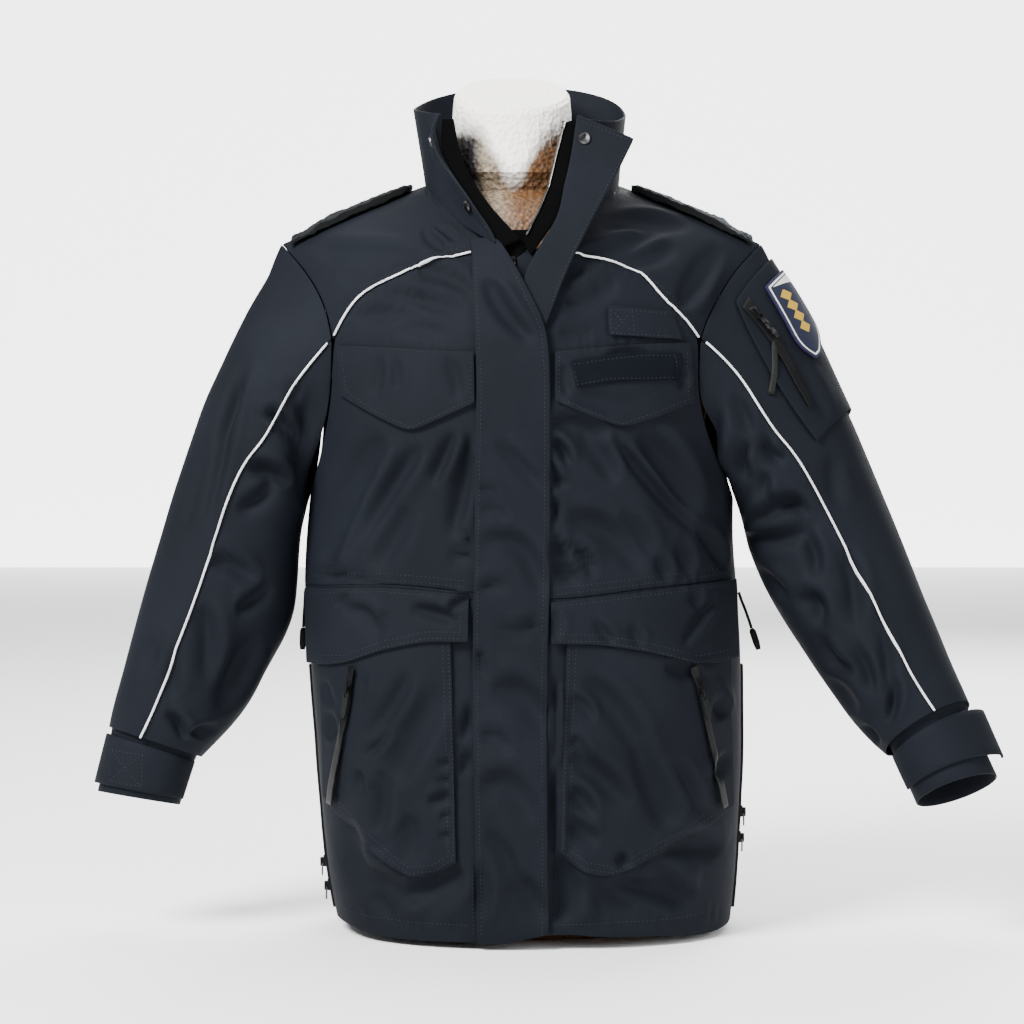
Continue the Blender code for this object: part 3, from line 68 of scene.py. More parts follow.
def addCamera():
    cameraData = bpy.data.cameras.new("photoCamera")
    cameraData.lens = cameraSettings["lens"]
    cameraData.sensor_width = 36
    camera = bpy.data.objects.new("photoCamera", cameraData)
    scene.collection.objects.link(camera)
    camera.location = cameraSettings["place"]
    look = Vector(cameraSettings["target"]) - Vector(cameraSettings["place"])
    camera.rotation_euler = look.to_track_quat("-Z", "Y").to_euler()
    scene.camera = camera


addCamera()
print("camera set")

# Ends of the waist cord that hang at the sides: their route as in the model, in millimetres.
drawcords = {
    "diameter": 3.0, "steps": 17,
    "right": {"x": (-217.4, -217.8, -218.4, -219.0, -219.4), "y": 8, "z": (334, 325, 316, 307, 298)},
    "left": {"x": (216.6, 219.2, 223.0, 226.5, 229.5), "y": -4, "z": (334, 326, 317, 307, 298)},
}


def addDrawcord(wearer):
    route = drawcords[wearer]
    spots = np.linspace(0, len(route["z"]) - 1, drawcords["steps"])
    stations = range(len(route["z"]))
    line = np.stack([np.interp(spots, stations, route["x"]), np.full(len(spots), float(route["y"])),
                     np.interp(spots, stations, route["z"])], -1)
    for _ in range(3):
        line[1:-1] = (line[:-2] + 2 * line[1:-1] + line[2:]) / 4
    curve = bpy.data.curves.new("drawcord_" + wearer + "_cord", "CURVE")
    curve.dimensions = "3D"
    curve.bevel_depth = drawcords["diameter"] / 2 * mm
    curve.bevel_resolution = 4
    curve.use_fill_caps = True
    spline = curve.splines.new("POLY")
    spline.points.add(len(line) - 1)
    for point, place in zip(spline.points, line * mm):
        point.co = (*place, 1)
    cord = bpy.data.objects.new(curve.name, curve)
    scene.collection.objects.link(cord)
    bpy.context.view_layer.objects.active = cord
    cord.select_set(True)
    bpy.ops.object.convert(target="MESH")
    cord = bpy.context.object
    cord.select_set(False)
    for face in cord.data.polygons:
        face.use_smooth = True
    node = "drawcord_" + wearer
    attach(cord, nodes[node]["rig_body"])
    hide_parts(node)
    return cord


cords = [addDrawcord(wearer) for wearer in ("right", "left")]
print("drawcords hung")


def newMaterial(name, colour, roughness, metallic=0.0):
    made = bpy.data.materials.new(name)
    made.use_nodes = True
    shader = made.node_tree.nodes["Principled BSDF"]
    shader.inputs["Base Color"].default_value = (*colour, 1)
    shader.inputs["Roughness"].default_value = roughness
    shader.inputs["Metallic"].default_value = metallic
    return made, made.node_tree, shader


def objectPlace(tree, turn=(0, 0, 0)):
    place = tree.nodes.new("ShaderNodeTexCoord")
    mapping = tree.nodes.new("ShaderNodeMapping")
    mapping.inputs["Rotation"].default_value = turn
    tree.links.new(place.outputs["Object"], mapping.inputs["Vector"])
    return mapping.outputs["Vector"]


def noiseNode(tree, vector, scale, detail):
    noise = tree.nodes.new("ShaderNodeTexNoise")
    noise.inputs["Scale"].default_value = scale
    noise.inputs["Detail"].default_value = detail
    noise.inputs["Roughness"].default_value = 0.55
    tree.links.new(vector, noise.inputs["Vector"])
    return noise.outputs["Fac"]


def waveNode(tree, vector, scale, direction="X"):
    wave = tree.nodes.new("ShaderNodeTexWave")
    wave.bands_direction = direction
    wave.inputs["Scale"].default_value = scale
    wave.inputs["Distortion"].default_value = 0.4
    wave.inputs["Detail"].default_value = 1
    tree.links.new(vector, wave.inputs["Vector"])
    return wave.outputs["Fac"]


def mathNode(tree, operation, first, second):
    made = tree.nodes.new("ShaderNodeMath")
    made.operation = operation
    for socket, value in zip(made.inputs, (first, second)):
        if isinstance(value, (int, float)):
            socket.default_value = value
        else:
            tree.links.new(value, socket)
    return made.outputs[0]


def rampNode(tree, value, stops):
    ramp = tree.nodes.new("ShaderNodeValToRGB")
    while len(ramp.color_ramp.elements) < len(stops):
        ramp.color_ramp.elements.new(0.5)
    for element, (place, colour) in zip(ramp.color_ramp.elements, stops):
        element.position = place
        element.color = (*colour, 1)
    tree.links.new(value, ramp.inputs["Fac"])
    return ramp.outputs["Color"]


def bumpNode(tree, height, strength, distance, under=None):
    bump = tree.nodes.new("ShaderNodeBump")
    bump.inputs["Strength"].default_value = strength
    bump.inputs["Distance"].default_value = distance
    tree.links.new(height, bump.inputs["Height"])
    if under is not None:
        tree.links.new(under, bump.inputs["Normal"])
    return bump.outputs["Normal"]


clothFinishes = {
    "shellCloth": {"dark": (0.0034, 0.0043, 0.0067), "light": (0.0054, 0.0068, 0.0102), "roughness": 0.74,
                   "gloss": 0.075, "sheen": 0.0, "weaveScale": 420.0, "weaveDepth": 0.25},
    # The facing's near-black is partly the lining's own dark colour, partly painted shade under the collar
    # and storm flap.
    "liningAndShadeCloth": {"dark": (0.0008, 0.0008, 0.0009), "light": (0.0014, 0.0014, 0.0016), "roughness": 0.95,
                    "gloss": 0.03, "sheen": 0.0, "weaveScale": 420.0, "weaveDepth": 0.25},
    "stripCloth": {"dark": (0.0015, 0.0021, 0.0040), "light": (0.0024, 0.0032, 0.0058), "roughness": 0.8,
                   "gloss": 0.06, "sheen": 0.0, "weaveScale": 420.0, "weaveDepth": 0.25},
    "ribbedCloth": {"dark": (0.0014, 0.0018, 0.0017), "light": (0.0034, 0.0042, 0.0038), "roughness": 0.85,
                    "gloss": 0.1, "sheen": 0.08, "weaveScale": 300.0, "weaveDepth": 0.6},
}


def clothMaterial(name):
    # Woven face: two crossed waves for the yarns, with a slow noise that lightens worn places.
    cloth = clothFinishes[name]
    made, tree, shader = newMaterial(name, cloth["light"], cloth["roughness"])
    place = objectPlace(tree)
    patches = noiseNode(tree, place, 9.0, 5)
    colour = rampNode(tree, patches, [(0.3, cloth["dark"]), (0.7, cloth["light"])])
    tree.links.new(colour, shader.inputs["Base Color"])
    warp = waveNode(tree, objectPlace(tree, turn=(0, 0, 0.5)), cloth["weaveScale"], "X")
    weft = waveNode(tree, objectPlace(tree, turn=(0, 0.5, 0)), cloth["weaveScale"], "Z")
    weave = mathNode(tree, "MULTIPLY", warp, weft)
    grain = noiseNode(tree, place, 900.0, 2)
    slub = noiseNode(tree, place, 60.0, 4)
    fine = bumpNode(tree, mathNode(tree, "ADD", weave, grain), cloth["weaveDepth"], 0.0003)
    soft = bumpNode(tree, slub, 0.35, 0.0012, fine)
    tree.links.new(soft, shader.inputs["Normal"])
    rough = mathNode(tree, "MULTIPLY_ADD", grain, 0.12)
    tree.nodes[-1].inputs[2].default_value = cloth["roughness"] - 0.06
    tree.links.new(rough, shader.inputs["Roughness"])
    shader.inputs["Specular IOR Level"].default_value = cloth["gloss"]
    shader.inputs["Sheen Weight"].default_value = cloth["sheen"]
    shader.inputs["Sheen Roughness"].default_value = 0.45
    shader.inputs["Sheen Tint"].default_value = (0.62, 0.7, 0.85, 1)
    return made


shellCloth, liningAndShadeCloth, stripCloth, ribbedCloth = (clothMaterial(name) for name in clothFinishes)

# Colours, then widths and places in millimetres, down the badge from its top.
badgeSettings = {"rim": (0.010, 0.009, 0.034), "line": (0.55, 0.55, 0.50), "ground": (0.0035, 0.006, 0.020),
                 "gold": (0.36, 0.22, 0.02), "rimWidth": 2.6, "lineWidth": 1.9, "innerGap": 1.2,
                 "band": (5.5, 17), "motif": (23, 72), "motifHalf": 8.5, "motifStep": 12.2, "motifPlace": 9.0,
                 "motifWaist": 0.12}


def badgeMaterial():
    # Woven badge: reads how far a point is from the rim (mm), along the badge and across it.
    made, tree, shader = newMaterial("badgeCloth", badgeSettings["ground"], 0.75)
    placed = tree.nodes.new("ShaderNodeAttribute")
    placed.attribute_name = "badgePlace"
    split = tree.nodes.new("ShaderNodeSeparateXYZ")
    tree.links.new(placed.outputs["Vector"], split.inputs[0])
    edge, along, across = (split.outputs[axis] for axis in "XYZ")

    def within(value, low, high):
        above = mathNode(tree, "GREATER_THAN", value, low)
        return mathNode(tree, "MULTIPLY", above, mathNode(tree, "LESS_THAN", value, high))

    def over(below, mask, colour):
        mix = tree.nodes.new("ShaderNodeMix")
        mix.data_type = "RGBA"
        tree.links.new(mask, mix.inputs["Factor"])
        if isinstance(below, tuple):
            mix.inputs["A"].default_value = (*below, 1)
        else:
            tree.links.new(below, mix.inputs["A"])
        mix.inputs["B"].default_value = (*colour, 1)
        return mix.outputs["Result"]

    rim = badgeSettings["rimWidth"]
    line = rim + badgeSettings["lineWidth"]
    inner = mathNode(tree, "GREATER_THAN", edge, line + badgeSettings["innerGap"])
    low, high = badgeSettings["motif"]
    step = badgeSettings["motifStep"]
    repeat = mathNode(tree, "PINGPONG", mathNode(tree, "SUBTRACT", along, low), step / 2)
    offset = mathNode(tree, "ABSOLUTE", mathNode(tree, "SUBTRACT", across, badgeSettings["motifPlace"]), 0)
    spread = mathNode(tree, "DIVIDE", offset, badgeSettings["motifHalf"])
    half = mathNode(tree, "ADD", mathNode(tree, "DIVIDE", repeat, step / 2), badgeSettings["motifWaist"])
    lozenge = mathNode(tree, "LESS_THAN", spread, half)
    motif = mathNode(tree, "MULTIPLY", mathNode(tree, "MULTIPLY", lozenge, within(along, low, high)), inner)
    band = mathNode(tree, "MULTIPLY", within(along, *badgeSettings["band"]), inner)
    colour = over(badgeSettings["rim"], mathNode(tree, "GREATER_THAN", edge, rim), badgeSettings["line"])
    colour = over(colour, mathNode(tree, "GREATER_THAN", edge, line), badgeSettings["ground"])
    colour = over(colour, band, badgeSettings["line"])
    colour = over(colour, motif, badgeSettings["gold"])
    tree.links.new(colour, shader.inputs["Base Color"])
    threads = waveNode(tree, objectPlace(tree, turn=(0, 0.6, 0)), 380.0, "Z")
    tree.links.new(bumpNode(tree, threads, 0.5, 0.0004), shader.inputs["Normal"])
    shader.inputs["Specular IOR Level"].default_value = 0.2
    return made


badgeCloth = badgeMaterial()


def threadMaterial():
    # Thread lighter than its own dark navy: partly its colour, partly painted highlight for the light along
    # the pressed seams.
    made, tree, shader = newMaterial("threadAndSeamHighlight", (0.012, 0.014, 0.019), 0.6)
    twist = noiseNode(tree, objectPlace(tree), 1400.0, 2)
    tree.links.new(rampNode(tree, twist, [(0.3, (0.009, 0.0105, 0.014)), (0.8, (0.02, 0.023, 0.03))]),
                   shader.inputs["Base Color"])
    shader.inputs["Specular IOR Level"].default_value = 0.25
    return made


threadAndSeamHighlight = threadMaterial()


def metalMaterial():
    made, tree, shader = newMaterial("wornMetal", (0.05, 0.05, 0.052), 0.32, 1.0)
    place = objectPlace(tree)
    wear = noiseNode(tree, place, 260.0, 6)
    colour = rampNode(tree, wear, [(0.35, (0.018, 0.018, 0.019)), (0.7, (0.10, 0.10, 0.103))])
    tree.links.new(colour, shader.inputs["Base Color"])
    tree.links.new(rampNode(tree, wear, [(0.3, (0.24, 0.24, 0.24)), (0.8, (0.5, 0.5, 0.5))]),
                   shader.inputs["Roughness"])
    tree.links.new(bumpNode(tree, wear, 0.2, 0.0002), shader.inputs["Normal"])
    return made


def toothMaterial():
    made, tree, shader = newMaterial("toothMetal", (0.16, 0.155, 0.15), 0.35, 1.0)
    wear = noiseNode(tree, objectPlace(tree), 500.0, 4)
    colour = rampNode(tree, wear, [(0.3, (0.07, 0.07, 0.07)), (0.8, (0.3, 0.29, 0.27))])
    tree.links.new(colour, shader.inputs["Base Color"])
    return made


toothMetal = toothMaterial()


def pipingMaterial():
    made, tree, shader = newMaterial("reflectivePiping", (0.6, 0.61, 0.63), 0.42)
    place = objectPlace(tree)
    grime = noiseNode(tree, place, 45.0, 6)
    colour = rampNode(tree, grime, [(0.25, (0.40, 0.41, 0.43)), (0.55, (0.62, 0.63, 0.65)),
                                    (0.8, (0.74, 0.75, 0.76))])
    tree.links.new(colour, shader.inputs["Base Color"])
    beads = noiseNode(tree, place, 1500.0, 2)
    tree.links.new(bumpNode(tree, beads, 0.4, 0.0002), shader.inputs["Normal"])
    shader.inputs["Sheen Weight"].default_value = 0.2
    return made


def tapeMaterial(name, colour, roughness):
    made, tree, shader = newMaterial(name, colour, roughness)
    place = objectPlace(tree)
    ribs = waveNode(tree, place, 330.0, "Z")
    rubbed = noiseNode(tree, place, 70.0, 5)
    lighter = tuple(value * 1.9 for value in colour)
    tree.links.new(rampNode(tree, rubbed, [(0.35, colour), (0.75, lighter)]), shader.inputs["Base Color"])
    tree.links.new(bumpNode(tree, ribs, 0.3, 0.0003), shader.inputs["Normal"])
    shader.inputs["Specular IOR Level"].default_value = 0.1
    shader.inputs["Coat Weight"].default_value = 0.04
    shader.inputs["Coat Roughness"].default_value = 0.35
    return made


def rubberMaterial():
    made, tree, shader = newMaterial("blackRubber", (0.004, 0.0046, 0.004), 0.6)
    shader.inputs["Specular IOR Level"].default_value = 0.12
    place = objectPlace(tree)
    grain = noiseNode(tree, place, 500.0, 3)
    tree.links.new(rampNode(tree, grain, [(0.3, (0.003, 0.0036, 0.003)), (0.8, (0.009, 0.0105, 0.0088))]),
                   shader.inputs["Base Color"])
    tree.links.new(bumpNode(tree, grain, 0.25, 0.0003), shader.inputs["Normal"])
    return made


# The shade colour is painted shade, laid near-black on the side of the neck that the collar shades.
foamSettings = {"white": (0.93, 0.9, 0.83), "silver": (0.17, 0.135, 0.095), "gold": (0.085, 0.036, 0.009),
                "shade": (0.012, 0.010, 0.008), "whiteFoot": 0.799, "wedge": 0.055, "wedgePlace": -0.008,
                "wedgeWidth": 0.022, "beadScale": 210.0}


def foamMaterial():
    # White foam at the top of the neck, darker and browner down the throat, with a white wedge near its
    # middle, and painted shade on the wearer's right.
    made, tree, shader = newMaterial("foamDarkBelow", foamSettings["white"], 0.6)
    place = objectPlace(tree)
    split = tree.nodes.new("ShaderNodeSeparateXYZ")
    tree.links.new(place, split.inputs[0])
    across, high = split.outputs["X"], split.outputs["Z"]
    offset = mathNode(tree, "DIVIDE", mathNode(tree, "SUBTRACT", across, foamSettings["wedgePlace"]),
                      foamSettings["wedgeWidth"])
    square = mathNode(tree, "MULTIPLY", mathNode(tree, "MULTIPLY", offset, offset), -1.0)
    bell = mathNode(tree, "POWER", 2.718, square)
    wedge = mathNode(tree, "MULTIPLY", bell, foamSettings["wedge"])
    edge = mathNode(tree, "SUBTRACT", foamSettings["whiteFoot"], wedge)
    cloud = mathNode(tree, "MULTIPLY", mathNode(tree, "SUBTRACT", noiseNode(tree, place, 38.0, 5), 0.5), 0.03)
    below = mathNode(tree, "ADD", mathNode(tree, "SUBTRACT", edge, high), cloud)
    # Darker and browner below a height on the neck, set by whiteFoot less the wedge, with a cloudy edge.
    darkBelowShare = rampNode(tree, mathNode(tree, "ADD", mathNode(tree, "MULTIPLY", below, 14.0), 0.3),
                     [(0.2, (0, 0, 0)), (0.55, (1, 1, 1))])
    tone = rampNode(tree, mathNode(tree, "ADD", mathNode(tree, "MULTIPLY", across, 18.0), 0.72),
                    [(0.25, foamSettings["silver"]), (0.62, foamSettings["gold"])])
    beadTone = noiseNode(tree, place, 260.0, 3)
    lively = tree.nodes.new("ShaderNodeMix")
    lively.data_type = "RGBA"
    lively.blend_type = "MULTIPLY"
    lively.inputs["Factor"].default_value = 0.8
    tree.links.new(tone, lively.inputs["A"])
    beadRamp = rampNode(tree, beadTone, [(0.38, (0.55, 0.5, 0.45)), (0.66, (1.7, 1.65, 1.55))])
    tree.links.new(beadRamp, lively.inputs["B"])
    # Painted shade: near-black on the wearer's right of the neck, beyond about x = -47 mm, where the collar's
    # shadow falls.
    paintedShadeMix = tree.nodes.new("ShaderNodeMix")
    paintedShadeMix.data_type = "RGBA"
    tree.links.new(rampNode(tree, mathNode(tree, "ADD", mathNode(tree, "MULTIPLY", across, -55.0), -1.9),
                            [(0.1, (0, 0, 0)), (0.7, (1, 1, 1))]), paintedShadeMix.inputs["Factor"])
    tree.links.new(lively.outputs["Result"], paintedShadeMix.inputs["A"])
    paintedShadeMix.inputs["B"].default_value = (*foamSettings["shade"], 1)
    whole = tree.nodes.new("ShaderNodeMix")
    whole.data_type = "RGBA"
    tree.links.new(darkBelowShare, whole.inputs["Factor"])
    whole.inputs["A"].default_value = (*foamSettings["white"], 1)
    tree.links.new(paintedShadeMix.outputs["Result"], whole.inputs["B"])
    tree.links.new(whole.outputs["Result"], shader.inputs["Base Color"])
    beads = tree.nodes.new("ShaderNodeTexVoronoi")
    beads.inputs["Scale"].default_value = foamSettings["beadScale"]
    tree.links.new(place, beads.inputs["Vector"])
    tree.links.new(bumpNode(tree, beads.outputs["Distance"], 0.55, 0.003), shader.inputs["Normal"])
    shader.inputs["Subsurface Weight"].default_value = 0.1
    shader.inputs["Subsurface Radius"].default_value = (0.004, 0.003, 0.002)
    return made


wornMetal = metalMaterial()
reflectivePiping = pipingMaterial()
zipTape = tapeMaterial("zipTape", (0.0016, 0.0016, 0.0018), 0.6)
coatedTape = tapeMaterial("coatedTape", (0.0014, 0.0015, 0.0017), 0.5)
blackRubber = rubberMaterial()
foamDarkBelow = foamMaterial()
for cord in cords:
    cord.data.materials.append(blackRubber)
print("materials made")


# Creases as seen from the front or, for the back, through it: both ends and a point between,
# in millimetres, then half the width and the depth. A depth below 0 is a ridge.
bodyCreases = {
    "front": [
        ((-206, 675), (-155, 667), (-92, 665), 9, 3.0),
        ((-95, 693), (-87, 682), (-74, 672), 5, 3.0),
        ((-87, 693), (-73, 689), (-64, 679), 4, 2.5),
        ((-102, 651), (-73, 647), (-48, 630), 6, 4.0),
        ((-136, 629), (-99, 623), (-54, 613), 6, 3.0),
        ((-163, 604), (-129, 611), (-90, 605), 6, 2.2),
        ((-122, 595), (-95, 595), (-68, 586), 6, 1.6),
        ((-180, 651), (-160, 651), (-126, 656), 8, 2.0),
        ((72, 696), (110, 699), (165, 696), 7, 4.5),
        ((55, 666), (89, 672), (132, 690), 7, 4.5),
        ((77, 662), (115, 663), (150, 676), 8, 3.5),
        ((196, 677), (173, 646), (154, 614), 10, 5.0),
        ((42, 647), (50, 652), (62, 653), 5, 3.0),
        ((39, 621), (61, 625), (93, 640), 7, 3.5),
        ((34, 588), (50, 592), (70, 588), 5, 2.2),
        ((29, 512), (50, 503), (83, 495), 9, 4.5),
        ((77, 568), (99, 573), (124, 570), 4, 1.5),
        ((-133, 492), (-168, 439), (-197, 364), 15, 6.0),
        ((-97, 484), (-130, 438), (-171, 372), 10, 4.5),
        ((-64, 497), (-76, 472), (-87, 446), 7, 3.5),
        ((-47, 499), (-56, 448), (-69, 395), 9, 5.0),
        ((-74, 377), (-59, 379), (-47, 380), 5, 3.0),
        ((-56, 393), (-51, 397), (-45, 398), 4, 2.0),
        ((-201, 352), (-183, 355), (-164, 359), 5, 3.0),
        ((-166, 359), (-153, 353), (-130, 351), 4, 2.0),
        ((-107, 426), (-123, 397), (-140, 362), 12, 2.5),
        ((26, 492), (39, 479), (42, 465), 5, 4.0),
        ((26, 471), (31, 454), (42, 445), 5, 3.5),
        ((26, 433), (31, 425), (31, 410), 5, 3.0),
        ((26, 398), (37, 383), (45, 381), 7, 5.0),
        ((28, 374), (42, 363), (53, 353), 8, 5.0),
        ((49, 387), (59, 378), (71, 359), 6, 3.5),
        ((87, 492), (125, 445), (172, 398), 6, 5.0),
        ((169, 400), (185, 387), (198, 360), 6, 3.5),
        ((54, 492), (74, 474), (88, 446), 10, 3.5),
        ((42, 413), (80, 402), (115, 359), 11, 4.0),
        ((92, 418), (111, 400), (125, 372), 9, 3.5),
        ((113, 495), (141, 461), (167, 410), 13, 5.5),
        ((128, 379), (136, 364), (140, 352), 6, 2.5),
        ((150, 390), (157, 375), (162, 357), 7, 2.5),
        ((27, 337), (36, 330), (46, 337), 4, 3.0),
    ],
    "stormFlap": [
        ((-33, 647), (-18, 613), (11, 582), 8, 5.5),
        ((-24, 488), (-3, 467), (21, 441), 7, 3.5),
        ((-42, 445), (-31, 442), (-21, 431), 5, 2.5),
        ((-42, 421), (-26, 422), (-13, 408), 6, 2.2),
        ((-41, 390), (-3, 388), (20, 336), 10, 5.0),
        ((-41, 345), (-28, 352), (-11, 349), 6, 3.0),
        ((-25, 316), (-3, 308), (17, 324), 7, 3.0),
        ((5, 315), (15, 307), (20, 297), 5, 2.5),
        ((-41, 290), (-39, 279), (-32, 266), 5, 3.0),
        ((-30, 249), (2, 245), (23, 201), 13, 6.5),
        ((-41, 208), (-26, 206), (-10, 190), 8, 3.5),
        ((-39, 149), (-13, 160), (11, 123), 13, 5.0),
        ((-34, 118), (-16, 91), (-7, 67), 9, 3.5),
        ((-11, 73), (8, 54), (20, 28), 11, 4.5),
        ((-40, 85), (-37, 60), (-39, 31), 8, 3.0),
    ],
    "pocketFlap": [
        ((-174, 323), (-149, 318), (-140, 289), 8, 3.5),
        ((-108, 328), (-82, 323), (-62, 316), 7, 3.5),
        ((-68, 323), (-61, 334), (-45, 337), 5, 2.5),
        ((-180, 325), (-175, 333), (-167, 338), 5, 2.0),
        ((-129, 300), (-133, 312), (-126, 325), 7, 1.6),
        ((68, 318), (80, 303), (88, 295), 6, 2.5),
        ((103, 313), (109, 300), (113, 290), 6, 2.0),
        ((190, 334), (172, 315), (154, 290), 5, 3.0),
        ((165, 344), (168, 334), (167, 325), 6, 2.0),
        ((29, 328), (32, 313), (30, 298), 6, 2.0),
    ],
    "chestFlap": [
        ((-136, 568), (-138, 550), (-142, 528), 6, 1.5),
        ((-122, 568), (-120, 550), (-122, 534), 6, 1.2),
        ((-73, 567), (-63, 546), (-64, 526), 7, 1.5),
        ((42, 561), (40, 545), (45, 531), 6, 2.0),
        ((146, 558), (154, 547), (150, 536), 5, 2.0),
        ((45, 525), (76, 526), (121, 520), 9, 1.5),
    ],
    "pocket": [
        ((-151, 263), (-156, 244), (-154, 231), 5, 3.0),
        ((-108, 268), (-124, 237), (-151, 201), 9, 3.5),
        ((-79, 255), (-103, 204), (-130, 155), 14, 4.5),
        ((-124, 213), (-139, 196), (-152, 183), 5, 3.0),
        ((-156, 170), (-158, 160), (-151, 147), 5, 3.5),
        ((-139, 172), (-134, 142), (-141, 108), 9, 3.5),
        ((-92, 141), (-79, 146), (-69, 153), 6, 3.0),
        ((-82, 183), (-75, 181), (-70, 182), 4, 1.8),
        ((-82, 165), (-75, 164), (-69, 164), 4, 1.8),
        ((-80, 129), (-74, 130), (-68, 131), 4, 1.8),
        ((-116, 126), (-106, 109), (-116, 80), 12, 3.0),
        ((-80, 113), (-74, 111), (-68, 113), 4, 1.8),
        ((59, 263), (93, 226), (119, 180), 12, 5.0),
        ((109, 196), (129, 149), (142, 111), 13, 5.5),
        ((44, 188), (72, 170), (104, 136), 11, 5.0),
        ((44, 155), (57, 146), (68, 124), 8, 3.5),
        ((45, 243), (59, 235), (68, 219), 6, 2.5),
        ((144, 183), (159, 159), (170, 127), 7, 3.0),
        ((45, 130), (57, 116), (75, 105), 9, 3.5),
        ((45, 203), (54, 199), (65, 186), 6, 2.5),
        ((93, 95), (96, 85), (95, 77), 6, 3.0),
    ],
    "skirt": [
        ((-46, 242), (-51, 219), (-59, 204), 7, 3.5),
        ((-48, 193), (-54, 179), (-59, 168), 6, 2.5),
        ((-76, 75), (-97, 55), (-131, 43), 9, 4.0),
        ((-174, 119), (-167, 92), (-171, 66), 12, 3.5),
        ((-169, 88), (-148, 61), (-113, 55), 15, 5.0),
        ((-57, 79), (-74, 60), (-97, 30), 12, 3.5),
        ((-189, 224), (-186, 207), (-189, 194), 6, 2.5),
        ((-192, 253), (-189, 240), (-179, 232), 6, 2.5),
        ((-153, 45), (-136, 38), (-117, 27), 8, 2.5),
        ((27, 263), (26, 224), (28, 181), 7, 6.0),
        ((28, 181), (25, 133), (30, 89), 8, 7.0),
        ((29, 92), (37, 60), (32, 27), 16, 7.0),
        ((177, 255), (190, 232), (199, 217), 7, 3.5),
        ((189, 158), (193, 168), (200, 184), 6, 2.5),
        ((124, 79), (146, 56), (167, 42), 11, 5.0),
        ((80, 65), (123, 56), (159, 37), 9, 4.5),
        ((134, 91), (169, 97), (193, 83), 12, 3.5),
        ((57, 71), (80, 46), (113, 37), 12, 3.0),
        ((136, 270), (159, 263), (185, 242), 8, 2.5),
    ],
    "back": [
        ((-196, 500), (-140, 460), (-70, 430), 16, 5.0),
        ((-190, 440), (-120, 408), (-40, 400), 14, 4.0),
        ((-176, 560), (-120, 520), (-60, 512), 11, 3.0),
        ((196, 510), (140, 466), (60, 440), 16, 5.0),
        ((188, 430), (120, 400), (30, 396), 14, 4.0),
        ((182, 566), (130, 530), (70, 516), 11, 3.0),
        ((-150, 662), (-60, 640), (40, 650), 12, 3.0),
        ((150, 668), (90, 640), (10, 622), 12, 3.0),
        ((-60, 600), (-50, 500), (-70, 400), 13, 2.5),
        ((44, 590), (60, 490), (48, 380), 14, 2.5),
        ((-196, 400), (-150, 380), (-90, 372), 8, 3.0),
        ((198, 396), (150, 378), (80, 374), 8, 3.0),
    ],
    "backSkirt": [
        ((-120, 334), (-132, 200), (-120, 40), 18, 5.0),
        ((-70, 330), (-60, 250), (-76, 170), 10, 3.0),
        ((-30, 336), (-46, 160), (-36, 30), 16, 4.5),
        ((50, 336), (62, 170), (50, 30), 18, 5.0),
        ((96, 330), (90, 240), (104, 160), 10, 3.0),
        ((136, 332), (140, 160), (132, 40), 16, 4.5),
        ((-186, 320), (-176, 220), (-184, 120), 10, 3.0),
        ((190, 322), (180, 220), (188, 110), 10, 3.0),
    ],
}
